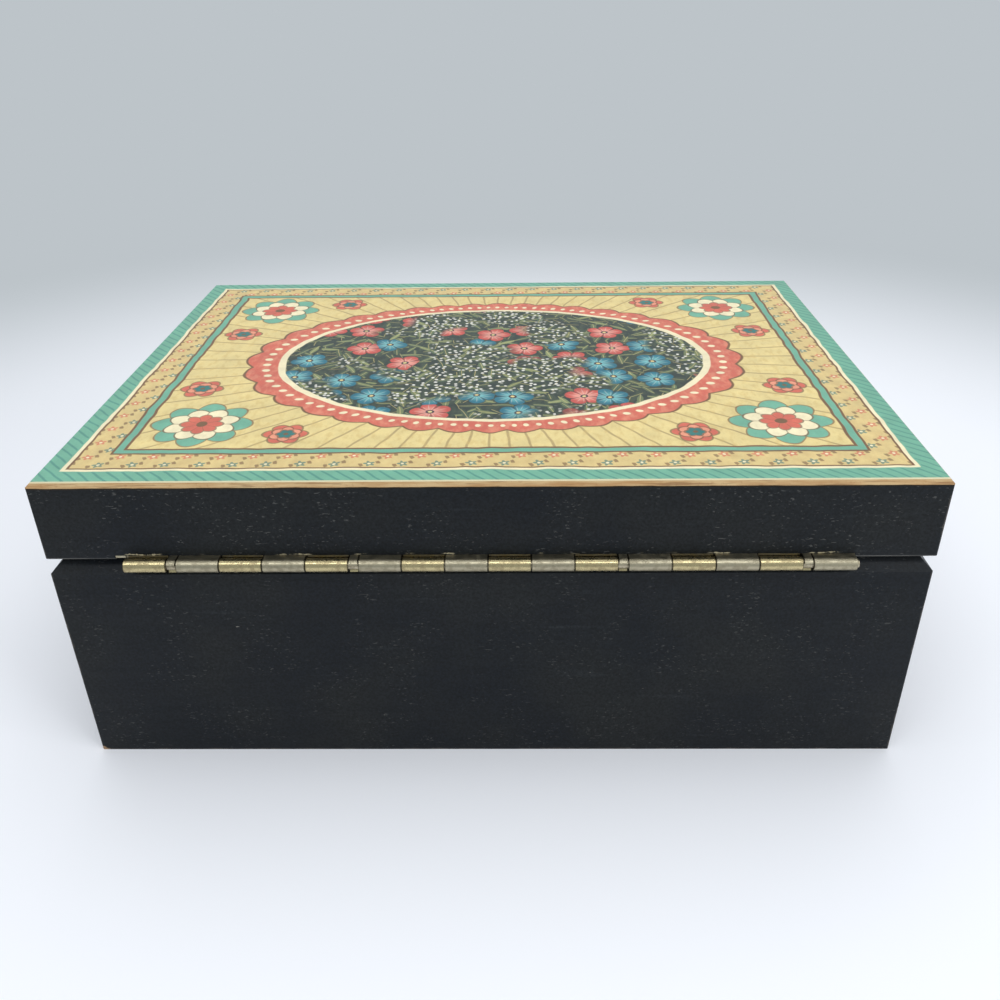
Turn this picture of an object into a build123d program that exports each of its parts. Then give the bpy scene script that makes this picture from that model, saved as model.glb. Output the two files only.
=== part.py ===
from build123d import *
import os
from math import atan2, cos, pi, sin, sqrt

# Wooden music box with a stop hinge and an eighteen-note comb movement.
# Millimetres, +Z up, the hinge is at the back, towards +Y.
# The origin is on the table, under the middle of the whole box with its hinge.

# Case and lid
BOX_WIDTH = 190.0
BOX_DEPTH = 139.0
WALL = 9.0
CORNER_EASE = 0.5
BASE_HEIGHT = 54.2
BASE_CHAMFER = 3.1
LID_GAP = 0.5
LID_RAIL_HEIGHT = 15.3
LID_EDGE_RADIUS = 1.0
LID_PANEL = 3.2
PRINT_SHEET = 0.3
LID_BEVEL = 1.1
LID_LINING = 1.2

# Floor, dividers and linings
KEY_RECESS = 12.0
FLOOR_BOARD = 3.0
FLOOR_GROOVE = 3.5
GROOVE_PLAY = 0.3
DIVIDER = 6.0
DIVIDER_HEIGHT = 31.0
COMPARTMENT_WIDTH = 50.0
COMPARTMENT_LENGTH = 60.5
FELT = 1.0
CLEAT = 4.0
COVER_SHEET = 2.0
COVER_HEIGHT = 25.0
COVER_PLAY = 0.3
ROD_HOLE_PLAY = 0.6
ARBOR_HOLE_PLAY = 1.0

# Hinge
BARREL_RADIUS = 1.5
LEAF_THICKNESS = 0.5
PIN_PLAY = 0.05
BARREL_SETBACK = 1.6
KNUCKLE_LENGTH = 9.15
KNUCKLE_COUNT = 16
KNUCKLE_PLAY = 0.15
STOP_GAP = 2.1
STOP_KNUCKLES = (1, 5, 11, 15)
LEAF_WIDTH = 8.4
LEAF_TAIL = 2.3
PIN_TAIL = 0.5
KNUCKLE_TURN = 342.0
OPENING_ANGLE = 100.0
LID_TAB_TURN = 60.0
STOP_TURN_PLAY = 0.6
MORTISE_PLAY = 0.2

# Wood screws of the hinge
HINGE_SCREW_COUNT = 5
HINGE_SCREW_MARGIN = 12.0
HINGE_SCREW_INSET = 3.6
HINGE_SCREW_LENGTH = 8.0
HINGE_SCREW_POINT = 2.4
HINGE_SCREW_HEAD = 1.9
HINGE_SCREW_SHANK = 1.0
HINGE_SCREW_SINK = 1.0
SCREW_PLAY = 0.05

# Machine screws of the movement
SCREW_HEAD_RADIUS = 2.1
SCREW_HEAD_HEIGHT = 1.4
SCREW_SHANK_RADIUS = 1.1
SLOT_WIDTH = 0.6
SLOT_DEPTH = 0.6

# Movement: bedplate and running fits
BED_LENGTH = 55.5
BED_DEPTH = 43.0
BED_THICKNESS = 3.0
BED_CORNER = 3.0
BED_AHEAD = 23.0
MOUNTING_INSET = 4.0
TAPPED_DEPTH = 2.4
SCREW_REACH = 2.0
BRACKET_SHEET = 1.2
BRACKET_GAP = 0.3
BRACKET_HALF_WIDTH = 4.5
BRACKET_SHOULDER = 4.0
BRACKET_CROWN = 1.6
FOOT_LENGTH = 7.0
SHAFT_PLAY = 0.05
SEAT_PLAY = 0.3
PRESS_PLAY = 0.02

# Cylinder and comb
CYLINDER_AXIS_HEIGHT = 14.6
CYLINDER_RADIUS = 6.0
CYLINDER_LENGTH = 19.0
CYLINDER_WALL = 0.6
CYLINDER_ARBOR_RADIUS = 1.0
TOOTH_COUNT = 18
TOOTH_PITCH = 1.03
TOOTH_SLIT = 0.3
TOOTH_THICKNESS = 0.5
COMB_THICKNESS = 1.6
COMB_ROOT = 13.6
COMB_SEAT = 14.5
COMB_SEAT_DEPTH = 7.5
COMB_SCREW_INSET = 3.4
COMB_SCREW_SPACING = 10.4
LEDGE_LEG = 3.0
LEDGE_BACK = 5.0
SHORTEST_SLIT = 4.4
LONGEST_SLIT = 6.4
WEIGHTED_TEETH = 8
WEIGHT_SETBACK = 1.2
WEIGHT_LENGTH = 2.2
WEIGHT_DEPTH = 2.2
WEIGHT_DEPTH_STEP = 0.2
TIP_CLEARANCE = 0.3
PIN_LENGTH = 0.7
PIN_WIDTH = 0.35
PINS_PER_TRACK = 4
PIN_TURN = 137.5
CAP_THICKNESS = 1.5
WHEEL_NECK = 1.0

# Spring barrel, crown teeth and the cylinder pinion that they drive
CROWN_TEETH = 38
CROWN_PINION_TEETH = 12
CROWN_MODULE = 0.6
CROWN_FACE = 1.4
CROWN_ADDENDUM = 0.35
CROWN_DEDENDUM = 0.7
CROWN_PINION_ADDENDUM = 0.4
CROWN_PINION_DEDENDUM = 0.75
BARREL_WALL = 0.7
BARREL_FLOOR_GAP = 0.5
SPRING_STRIP = 0.35
SPRING_STEP = 0.8
SPRING_HALF_TURNS = 9
SPRING_START = 1.2
WINDING_ARBOR_RADIUS = 2.0
COLLAR_RADIUS = 3.6
COLLAR_HEIGHT = 1.4

# Winding key
KEY_HUB_RADIUS = 3.4
KEY_HUB_LENGTH = 7.0
KEY_SPAN = 24.0
KEY_WING_HEIGHT = 8.0
KEY_THICKNESS = 1.8
KEY_EYE_RADIUS = 2.0
KEY_DROP = 1.0
KEY_CAP = 1.0
KEY_WING_DROP = 2.0

# Cylinder wheel and governor
WHEEL_TEETH = 40
PINION_TEETH = 10
WHEEL_MODULE = 0.35
WHEEL_FACE = 1.2
WHEEL_ADDENDUM = 0.28
WHEEL_DEDENDUM = 0.45
PINION_ADDENDUM = 0.22
PINION_DEDENDUM = 0.5
GOVERNOR_DROP = 3.6
WORM_WHEEL_TEETH = 18
WORM_MODULE = 0.4
WORM_WHEEL_FACE = 1.2
WORM_PITCH_RADIUS = 1.4
WORM_TURNS = 4.5
WORM_ADDENDUM = 0.25
WORM_DEDENDUM = 0.45
THREAD_SINK = 0.15
FRAME_SHEET = 1.0
FRAME_HALF_WIDTH = 4.0
FRAME_SCREW_AHEAD = 1.0
CHEEK_GAP = 3.2
CHEEK_CROWN = 2.4
CHEEK_SHOULDER = 2.2
CHEEK_MARGIN = 2.0
RIGHT_CHEEK_FOOT = 3.4
ARM_HALF_WIDTH = 1.8
ARM_MARGIN = 2.0
GOVERNOR_ARBOR_RADIUS = 0.8
WORM_PIVOT_RADIUS = 0.6
FAN_RADIUS = 4.2
FAN_HEIGHT = 2.8
FAN_SHEET = 0.4
FAN_HUB_WALL = 0.7
FAN_LEVEL = 15.2
FAN_CLEARANCE = 0.7
END_SHAKE = 0.3

# Share of the pitch that a tooth fills at its root and at its tip
CROWN_TOOTH = (0.52, 0.26)
CROWN_PINION_TOOTH = (0.46, 0.2)
WHEEL_TOOTH = (0.52, 0.24)
PINION_TOOTH = (0.4, 0.18)
WORM_WHEEL_TOOTH = (0.44, 0.2)
WORM_THREAD = (0.48, 0.2)

# Stop rod
STOP_ROD_RADIUS = 0.75
STOP_ROD_REACH = 8.2
STOP_ROD_LIFT = 1.0
STOP_TRAVEL = 2.5
STOP_GUIDE = 2.5
STOP_GUIDE_RADIUS = 2.4
STOP_FINGER = 1.0

# Places that follow from the sizes above
BARREL_OVERHANG = BARREL_SETBACK + BARREL_RADIUS
BACK = (BOX_DEPTH - BARREL_OVERHANG) / 2
FRONT = BACK - BOX_DEPTH
MIDDLE = (BACK + FRONT) / 2
RIGHT = BOX_WIDTH / 2
LEFT = -RIGHT
INNER_BACK = BACK - WALL
INNER_FRONT = FRONT + WALL
INNER_RIGHT = RIGHT - WALL
INNER_LEFT = LEFT + WALL
FLOOR_TOP = KEY_RECESS + FLOOR_BOARD
LID_BOTTOM = BASE_HEIGHT + LID_GAP
PANEL_BOTTOM = LID_BOTTOM + LID_RAIL_HEIGHT
PANEL_TOP = PANEL_BOTTOM + LID_PANEL
BOX_TOP = PANEL_TOP + PRINT_SHEET
DIVIDER_TOP = FLOOR_TOP + DIVIDER_HEIGHT
COMPARTMENT_LEFT = INNER_RIGHT - COMPARTMENT_WIDTH
COMPARTMENT_FRONT = INNER_BACK - COMPARTMENT_LENGTH
COVER_BOTTOM = FLOOR_TOP + COVER_HEIGHT

HINGE_Y = BACK + BARREL_SETBACK
HINGE_Z = BASE_HEIGHT + LID_GAP / 2
HINGE_LENGTH = KNUCKLE_COUNT * KNUCKLE_LENGTH + len(STOP_KNUCKLES) * STOP_GAP
BORE_RADIUS = BARREL_RADIUS - LEAF_THICKNESS
HINGE_PIN_RADIUS = BORE_RADIUS - PIN_PLAY
MORTISE_DEPTH = BARREL_RADIUS - LID_GAP / 2
HINGE_SCREW_SPAN = HINGE_LENGTH - 2 * HINGE_SCREW_MARGIN

# The movement is drawn in its own frame and then turned and set down on the floor board.
# There the cylinder lies along X over Y = 0, and Z = 0 is the underside of the bedplate.
MOVEMENT_X = INNER_RIGHT - (COMPARTMENT_WIDTH - BED_DEPTH) / 2 - BED_AHEAD
MOVEMENT_Y = INNER_BACK - COMPARTMENT_LENGTH / 2
BED_BEHIND = BED_DEPTH - BED_AHEAD
PIN_CIRCLE = CYLINDER_RADIUS + PIN_LENGTH
COMB_TIP = PIN_CIRCLE + TIP_CLEARANCE
COMB_TOP = CYLINDER_AXIS_HEIGHT + TOOTH_THICKNESS
COMB_BOTTOM = COMB_TOP - COMB_THICKNESS

CROWN_RADIUS = CROWN_TEETH * CROWN_MODULE / 2
CROWN_PINION_RADIUS = CROWN_PINION_TEETH * CROWN_MODULE / 2
CROWN_LEVEL = CYLINDER_AXIS_HEIGHT - CROWN_PINION_RADIUS
BARREL_TOP = CROWN_LEVEL - CROWN_DEDENDUM
BARREL_BOTTOM = BED_THICKNESS + BARREL_FLOOR_GAP
BARREL_OUTER = CROWN_RADIUS + CROWN_FACE / 2
BRACKET_LEFT = -BRACKET_GAP - BRACKET_SHEET
CROWN_PINION_RIGHT = BRACKET_LEFT - 2 * BRACKET_GAP
CROWN_PINION_MIDDLE = CROWN_PINION_RIGHT - CROWN_FACE / 2
BARREL_X = CROWN_PINION_MIDDLE - CROWN_RADIUS

WHEEL_RADIUS = WHEEL_TEETH * WHEEL_MODULE / 2
PINION_RADIUS = PINION_TEETH * WHEEL_MODULE / 2
GOVERNOR_DISTANCE = WHEEL_RADIUS + PINION_RADIUS
GOVERNOR_Z = CYLINDER_AXIS_HEIGHT - GOVERNOR_DROP
GOVERNOR_Y = sqrt(GOVERNOR_DISTANCE**2 - GOVERNOR_DROP**2)
WHEEL_LEFT = CYLINDER_LENGTH + 2 * BRACKET_GAP
CHEEK_LEFT = WHEEL_LEFT + WHEEL_FACE + 2 * BRACKET_GAP
CHEEK_RIGHT = CHEEK_LEFT + FRAME_SHEET + CHEEK_GAP
WORM_X = CHEEK_LEFT + FRAME_SHEET + CHEEK_GAP / 2
WORM_WHEEL_RADIUS = WORM_WHEEL_TEETH * WORM_MODULE / 2
WORM_PITCH = pi * WORM_MODULE
WORM_Y = GOVERNOR_Y + WORM_WHEEL_RADIUS + WORM_PITCH_RADIUS
ROD_X = WORM_X - STOP_ROD_REACH
ROD_BOTTOM = BED_THICKNESS + STOP_ROD_LIFT
ARM_BOTTOM = FAN_LEVEL + FAN_HEIGHT + FAN_CLEARANCE

COMB_MIDDLE = CYLINDER_LENGTH / 2
COMB_WIDTH = TOOTH_COUNT * TOOTH_PITCH
COMB_LEFT = COMB_MIDDLE - COMB_WIDTH / 2
COMB_BACK = COMB_SEAT + COMB_SEAT_DEPTH
COMB_SCREW_Y = -COMB_BACK + COMB_SCREW_INSET
COMB_SCREW_X = (COMB_MIDDLE - COMB_SCREW_SPACING / 2, COMB_MIDDLE + COMB_SCREW_SPACING / 2)
BRACKET_SCREW_X = FOOT_LENGTH / 2
FRAME_SCREW_X = CHEEK_LEFT + FRAME_SHEET + SCREW_HEAD_RADIUS + SEAT_PLAY
FRAME_SCREW_Y = -FRAME_SCREW_AHEAD
MOUNTING_POINTS = (
    (MOUNTING_INSET - BED_LENGTH / 2, MOUNTING_INSET - BED_AHEAD),
    (BED_LENGTH / 2 - MOUNTING_INSET, MOUNTING_INSET - BED_AHEAD),
    (0.0, BED_BEHIND - MOUNTING_INSET),
)

LARGE_WELL_X = (INNER_LEFT, COMPARTMENT_LEFT - DIVIDER)
LARGE_WELL_Y = (INNER_FRONT, INNER_BACK)
SMALL_WELL_X = (COMPARTMENT_LEFT, INNER_RIGHT)
SMALL_WELL_Y = (INNER_FRONT, COMPARTMENT_FRONT - DIVIDER)


def in_movement(shape):
    """Turns a piece from the movement's frame and sets it down on the floor board."""
    return Pos(MOVEMENT_X, MOVEMENT_Y, FLOOR_TOP) * Rot(0, 0, 90) * shape


def block(x, y, z):
    """A block between a low and a high value on each axis."""
    size = (x[1] - x[0], y[1] - y[0], z[1] - z[0])
    middle = ((x[0] + x[1]) / 2, (y[0] + y[1]) / 2, (z[0] + z[1]) / 2)
    return Pos(*middle) * Box(*size)


def rod(radius, start, end):
    """A round bar about Z between two heights."""
    return Pos(0, 0, (start + end) / 2) * Cylinder(radius, end - start)


def rod_along_x(radius, start, end, y, z):
    """A round bar along X at a given place."""
    return Pos((start + end) / 2, y, z) * Rot(0, 90, 0) * Cylinder(radius, end - start)


def turned(points):
    """A solid of revolution about Z from its half outline of radius and height."""
    return revolve(Plane.XZ * make_face(Polyline(*points, close=True)), Axis.Z)


def sheet(plane, points, thickness):
    """A flat plate from its outline in a plane, thickened along the plane's normal."""
    return extrude(plane * make_face(Polyline(*points, close=True)), thickness)


def gear_face(teeth, root, tip, shares, phase):
    """A gear's outline: each tooth fills a share of the pitch at its root and at its tip."""
    step = 2 * pi / teeth
    root_share, tip_share = shares
    flank = ((root, -root_share), (tip, -tip_share), (tip, tip_share), (root, root_share))
    points = []
    for tooth in range(teeth):
        for radius, share in flank:
            angle = phase + (tooth + share / 2) * step
            points.append((radius * cos(angle), radius * sin(angle)))
    return make_face(Polyline(*points, close=True))


def gear_along_x(face, start, width, y, z):
    """A gear wheel or pinion on an arbor along X."""
    return Pos(start, y, z) * extrude(Plane.YZ * face, width)


# Case boards


def board_wedge(side, height):
    """The part of the box in plan that belongs to one mitred board."""
    reach = BOX_DEPTH / 2
    left_point = (LEFT + reach, MIDDLE)
    right_point = (RIGHT - reach, MIDDLE)
    outlines = {
        "back": [(LEFT, BACK), (RIGHT, BACK), right_point, left_point],
        "front": [(LEFT, FRONT), (RIGHT, FRONT), right_point, left_point],
        "left": [(LEFT, BACK), (LEFT, FRONT), left_point],
        "right": [(RIGHT, BACK), (RIGHT, FRONT), right_point],
    }
    return sheet(Plane.XY, outlines[side], height)


def full_block(low, high):
    """The box's full plan between two heights."""
    return block((LEFT, RIGHT), (FRONT, BACK), (low, high))


def eased(body):
    """A body of the box's plan with its upright corners eased."""
    plain = full_block(0, BOX_TOP)
    return body & fillet(plain.edges().filter_by(Axis.Z), CORNER_EASE)


def hollow(low, high):
    """The inside of the box in plan between two heights."""
    return block((INNER_LEFT, INNER_RIGHT), (INNER_FRONT, INNER_BACK), (low, high))


def floor_slot(play):
    """The floor board's space in the boards, smaller by a given play at its rim."""
    reach = FLOOR_GROOVE - play
    return block(
        (INNER_LEFT - reach, INNER_RIGHT + reach),
        (INNER_FRONT - reach, INNER_BACK + reach),
        (KEY_RECESS, FLOOR_TOP),
    )


def base_walls():
    """All four base boards in one, chamfered outside at the rim and grooved for the floor."""
    body = full_block(0, BASE_HEIGHT)
    body = eased(chamfer(body.edges().group_by(Axis.Z)[-1], BASE_CHAMFER))
    body -= hollow(0, BASE_HEIGHT)
    return body - floor_slot(0)


def lid_walls():
    """All four lid rails in one, with the lower outer edge rounded."""
    body = full_block(LID_BOTTOM, PANEL_BOTTOM)
    body = eased(fillet(body.edges().group_by(Axis.Z)[0], LID_EDGE_RADIUS))
    return body - hollow(LID_BOTTOM, PANEL_BOTTOM)


def lid_top():
    """Lid panel and printed sheet in one, with the sanded bevel round the top."""
    body = full_block(PANEL_BOTTOM, BOX_TOP)
    return eased(chamfer(body.edges().group_by(Axis.Z)[-1], LID_BEVEL))


def floor_board():
    """Floor board in its groove, with holes for the winding arbor and the mounting screws."""
    board = floor_slot(GROOVE_PLAY)
    board -= in_movement(Pos(BARREL_X, 0, 0) * rod(WINDING_ARBOR_RADIUS + ARBOR_HOLE_PLAY, -FLOOR_BOARD, 0))
    for x, y in MOUNTING_POINTS:
        hole = rod(SCREW_SHANK_RADIUS + SCREW_PLAY, -FLOOR_BOARD, 0)
        board -= in_movement(Pos(x, y, 0) * hole)
    return board


# Dividers, cover and linings


def long_divider():
    """Board that parts the large well from the movement and the small well."""
    return block(
        (COMPARTMENT_LEFT - DIVIDER, COMPARTMENT_LEFT),
        (INNER_FRONT, INNER_BACK),
        (FLOOR_TOP, DIVIDER_TOP),
    )


def cross_divider():
    """Board that parts the movement from the small well."""
    return block(
        (COMPARTMENT_LEFT, INNER_RIGHT),
        (COMPARTMENT_FRONT - DIVIDER, COMPARTMENT_FRONT),
        (FLOOR_TOP, DIVIDER_TOP),
    )


def cover_cleats():
    """Two strips that carry the clear cover, on the long divider and on the right board."""
    height = (COVER_BOTTOM - CLEAT, COVER_BOTTOM)
    length = (COMPARTMENT_FRONT, INNER_BACK)
    inner = block((COMPARTMENT_LEFT, COMPARTMENT_LEFT + CLEAT), length, height)
    outer = block((INNER_RIGHT - CLEAT, INNER_RIGHT), length, height)
    return Compound([inner, outer])


def movement_cover():
    """Clear sheet over the movement, with a hole for the stop rod."""
    cover = block(
        (COMPARTMENT_LEFT + COVER_PLAY, INNER_RIGHT - COVER_PLAY),
        (COMPARTMENT_FRONT + COVER_PLAY, INNER_BACK - COVER_PLAY),
        (COVER_BOTTOM, COVER_BOTTOM + COVER_SHEET),
    )
    hole = rod(STOP_ROD_RADIUS + ROD_HOLE_PLAY, COVER_HEIGHT, COVER_HEIGHT + COVER_SHEET)
    return cover - in_movement(Pos(ROD_X, WORM_Y, 0) * hole)


def floor_felt(x, y):
    """Felt on the floor of a well."""
    return block(x, y, (FLOOR_TOP, FLOOR_TOP + FELT))


def wall_felts(x, y):
    """Four felt strips round a well: two of full length, two fitted between them."""
    height = (FLOOR_TOP + FELT, DIVIDER_TOP)
    between = (y[0] + FELT, y[1] - FELT)
    strips = [
        block(x, (y[0], y[0] + FELT), height),
        block(x, (y[1] - FELT, y[1]), height),
        block((x[0], x[0] + FELT), between, height),
        block((x[1] - FELT, x[1]), between, height),
    ]
    return Compound(strips)


def lid_lining():
    """Felt on the underside of the lid panel."""
    return block(
        (INNER_LEFT + GROOVE_PLAY, INNER_RIGHT - GROOVE_PLAY),
        (INNER_FRONT + GROOVE_PLAY, INNER_BACK - GROOVE_PLAY),
        (PANEL_BOTTOM - LID_LINING, PANEL_BOTTOM),
    )


# Hinge


def knuckle_spans():
    """Low and high X of each knuckle, from +X to -X, and the stop gap before it if it has one."""
    spans = []
    x = HINGE_LENGTH / 2
    for index in range(KNUCKLE_COUNT):
        gap = None
        if index in STOP_KNUCKLES:
            gap = (x - STOP_GAP + KNUCKLE_PLAY, x - KNUCKLE_PLAY)
            x -= STOP_GAP
        spans.append((x - KNUCKLE_LENGTH + KNUCKLE_PLAY / 2, x - KNUCKLE_PLAY / 2, gap))
        x -= KNUCKLE_LENGTH
    return spans


def rolled_sheet(x, side, turn):
    """Sheet rolled round the pin from a leaf's face, away from the box, through a given turn."""
    start = -90 if side < 0 else 90 - turn
    outer = CenterArc((0, 0), BARREL_RADIUS, start, turn)
    inner = CenterArc((0, 0), BORE_RADIUS, start, turn)
    ends = [Line(outer @ 0, inner @ 0), Line(outer @ 1, inner @ 1)]
    face = make_face([outer, inner, *ends])
    return Pos(x[0], HINGE_Y, HINGE_Z) * extrude(Plane.YZ * face, x[1] - x[0])


def leaf_strip(x, y_start, y_end, side):
    """Flat sheet of a leaf, on the lower (-1) or the upper (+1) side of the barrel."""
    near = HINGE_Z + side * BORE_RADIUS
    far = HINGE_Z + side * BARREL_RADIUS
    return block(x, (HINGE_Y + y_start, HINGE_Y + y_end), (min(near, far), max(near, far)))


def hinge_screw_places():
    """X of each hinge screw, evenly spaced."""
    step = HINGE_SCREW_SPAN / (HINGE_SCREW_COUNT - 1)
    return [-HINGE_SCREW_SPAN / 2 + index * step for index in range(HINGE_SCREW_COUNT)]


def wood_screw(play):
    """Countersunk wood screw with its head's face at Z = 0 and its point down."""
    head = HINGE_SCREW_HEAD + play
    shank = HINGE_SCREW_SHANK + play
    outline = [
        (0, 0),
        (head, 0),
        (shank, -HINGE_SCREW_SINK),
        (shank, HINGE_SCREW_POINT - HINGE_SCREW_LENGTH),
        (0, -HINGE_SCREW_LENGTH - play),
    ]
    return turned(outline)


def hinge_screws(side, play=0.0):
    """The screws of one leaf, set into its free face and pointing into the wood."""
    screw = wood_screw(play)
    if play == 0:
        slot = (-SLOT_DEPTH, 0)
        screw -= block((-HINGE_SCREW_HEAD, HINGE_SCREW_HEAD), (-SLOT_WIDTH / 2, SLOT_WIDTH / 2), slot)
    face = HINGE_Z + side * BORE_RADIUS
    turn = Rot(0, 0, 0) if side < 0 else Rot(180, 0, 0)
    y = BACK - HINGE_SCREW_INSET
    return [Pos(x, y, face) * turn * screw for x in hinge_screw_places()]


def leaf_ends(side, play):
    """X of a leaf's ends, longer by a given play: the lid's leaf runs past its last knuckle."""
    tail = LEAF_TAIL if side > 0 else 0
    return (-HINGE_LENGTH / 2 - play, HINGE_LENGTH / 2 + tail + play)


def stop_turn(side):
    """Turn of a stop tab: the lid's tab meets the base's when the lid is open."""
    if side > 0:
        return LID_TAB_TURN
    return 180 - LID_TAB_TURN - OPENING_ANGLE - STOP_TURN_PLAY


def hinge_leaf(side):
    """One leaf with its knuckles and stop tabs: the base's is -1, the lid's is +1."""
    leaf = leaf_strip(leaf_ends(side, 0), -LEAF_WIDTH, -BARREL_SETBACK, side)
    first = 0 if side < 0 else 1
    for index, (low, high, gap) in enumerate(knuckle_spans()):
        if index % 2 == first:
            leaf += leaf_strip((low, high), -BARREL_SETBACK, 0, side)
            leaf += rolled_sheet((low, high), side, KNUCKLE_TURN)
        if gap:
            leaf += leaf_strip(gap, -BARREL_SETBACK, 0, side)
            leaf += rolled_sheet(gap, side, stop_turn(side))
    for hole in hinge_screws(side, SCREW_PLAY):
        leaf -= hole
    return leaf


def hinge_mortise(side):
    """The recess for one leaf in the rim, open to the back."""
    x = leaf_ends(side, MORTISE_PLAY)
    y = (HINGE_Y - LEAF_WIDTH - MORTISE_PLAY, BACK)
    if side < 0:
        return block(x, y, (BASE_HEIGHT - MORTISE_DEPTH, BASE_HEIGHT))
    return block(x, y, (LID_BOTTOM, LID_BOTTOM + MORTISE_DEPTH))


def hinge_pin():
    """Pin through all knuckles, a little longer at the -X end."""
    low = -HINGE_LENGTH / 2 - PIN_TAIL
    high = HINGE_LENGTH / 2
    return rod_along_x(HINGE_PIN_RADIUS, low, high, HINGE_Y, HINGE_Z)


def back_board(walls, side, height):
    """The back board or back rail with its mortise and screw holes."""
    board = walls & board_wedge("back", height)
    board -= hinge_mortise(side)
    for hole in hinge_screws(side, SCREW_PLAY):
        board -= hole
    return board


# Movement: bedplate, brackets and screws


def machine_screw(length):
    """Slotted cheese-head screw with its head on Z = 0 and its shank down."""
    outline = [
        (0, -length),
        (SCREW_SHANK_RADIUS, -length),
        (SCREW_SHANK_RADIUS, 0),
        (SCREW_HEAD_RADIUS, 0),
        (SCREW_HEAD_RADIUS, SCREW_HEAD_HEIGHT),
        (0, SCREW_HEAD_HEIGHT),
    ]
    slot = block(
        (-SCREW_HEAD_RADIUS, SCREW_HEAD_RADIUS),
        (-SLOT_WIDTH / 2, SLOT_WIDTH / 2),
        (SCREW_HEAD_HEIGHT - SLOT_DEPTH, SCREW_HEAD_HEIGHT),
    )
    return turned(outline) - slot


def tapped_hole(x, y, top, depth):
    """Room for a machine screw's shank below a given height."""
    return Pos(x, y, 0) * rod(SCREW_SHANK_RADIUS + SCREW_PLAY, top - depth, top)


def bedplate():
    """Cast bedplate with the comb's arched ledge and the stop rod's guide boss."""
    outline = Pos(0, (BED_BEHIND - BED_AHEAD) / 2) * RectangleRounded(BED_LENGTH, BED_DEPTH, BED_CORNER)
    plate = extrude(outline, BED_THICKNESS)
    ledge = (COMB_LEFT, COMB_LEFT + COMB_WIDTH)
    plate += block(ledge, (-COMB_BACK, -COMB_SEAT), (BED_THICKNESS, COMB_BOTTOM))
    arch = (ledge[0] + LEDGE_LEG, ledge[1] - LEDGE_LEG)
    plate -= block(arch, (LEDGE_BACK - COMB_BACK, -COMB_SEAT), (BED_THICKNESS, COMB_BOTTOM - LEDGE_LEG))
    guide_top = ROD_BOTTOM + STOP_TRAVEL + STOP_GUIDE
    plate += Pos(ROD_X, WORM_Y, 0) * rod(STOP_GUIDE_RADIUS, BED_THICKNESS, guide_top)
    plate -= Pos(ROD_X, WORM_Y, 0) * rod(STOP_ROD_RADIUS + SHAFT_PLAY, ROD_BOTTOM - SEAT_PLAY, guide_top)
    plate -= Pos(BARREL_X, 0, 0) * rod(WINDING_ARBOR_RADIUS + SHAFT_PLAY, 0, BED_THICKNESS)
    for x, y in MOUNTING_POINTS:
        plate -= tapped_hole(x, y, TAPPED_DEPTH, TAPPED_DEPTH)
    for x in COMB_SCREW_X:
        plate -= tapped_hole(x, COMB_SCREW_Y, COMB_BOTTOM, TAPPED_DEPTH)
    plate -= tapped_hole(BRACKET_SCREW_X, 0, BED_THICKNESS, TAPPED_DEPTH)
    plate -= tapped_hole(FRAME_SCREW_X, FRAME_SCREW_Y, BED_THICKNESS, TAPPED_DEPTH)
    return plate


def mounting_screws():
    """Three screws up through the floor board into the bedplate."""
    screw = Pos(0, 0, -FLOOR_BOARD) * Rot(180, 0, 0) * machine_screw(FLOOR_BOARD + SCREW_REACH)
    return [Pos(x, y, 0) * screw for x, y in MOUNTING_POINTS]


def comb_screws():
    """Two screws that hold the comb down on its ledge."""
    screw = machine_screw(COMB_THICKNESS + SCREW_REACH)
    return [Pos(x, COMB_SCREW_Y, COMB_TOP) * screw for x in COMB_SCREW_X]


def frame_screws():
    """Screws in the feet of the cylinder bracket and of the governor frame."""
    bracket = machine_screw(BRACKET_SHEET + SCREW_REACH)
    frame = machine_screw(FRAME_SHEET + SCREW_REACH)
    return [
        Pos(BRACKET_SCREW_X, 0, BED_THICKNESS + BRACKET_SHEET) * bracket,
        Pos(FRAME_SCREW_X, FRAME_SCREW_Y, BED_THICKNESS + FRAME_SHEET) * frame,
    ]


def cylinder_bracket():
    """Bent bracket that carries the left end of the cylinder's arbor."""
    half = BRACKET_HALF_WIDTH
    shoulder = CYLINDER_AXIS_HEIGHT - BRACKET_SHOULDER
    crown = CYLINDER_AXIS_HEIGHT + CYLINDER_ARBOR_RADIUS + BRACKET_CROWN
    outline = [
        (-half, BED_THICKNESS),
        (half, BED_THICKNESS),
        (half, shoulder),
        (half / 2, crown),
        (-half / 2, crown),
        (-half, shoulder),
    ]
    upright = Pos(BRACKET_LEFT, 0, 0) * sheet(Plane.YZ, outline, BRACKET_SHEET)
    foot = block(
        (BRACKET_LEFT, FOOT_LENGTH),
        (-half, half),
        (BED_THICKNESS, BED_THICKNESS + BRACKET_SHEET),
    )
    bore = CYLINDER_ARBOR_RADIUS + SHAFT_PLAY
    bracket = upright + foot
    bracket -= on_cylinder_axis(bore, BRACKET_LEFT, BRACKET_LEFT + BRACKET_SHEET)
    top = BED_THICKNESS + BRACKET_SHEET
    return bracket - tapped_hole(BRACKET_SCREW_X, 0, top, BRACKET_SHEET)


# Comb and cylinder


def comb_slit_length(index):
    """Slits grow longer from the highest note to the lowest."""
    return SHORTEST_SLIT + (LONGEST_SLIT - SHORTEST_SLIT) * index / (TOOTH_COUNT - 2)


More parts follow.
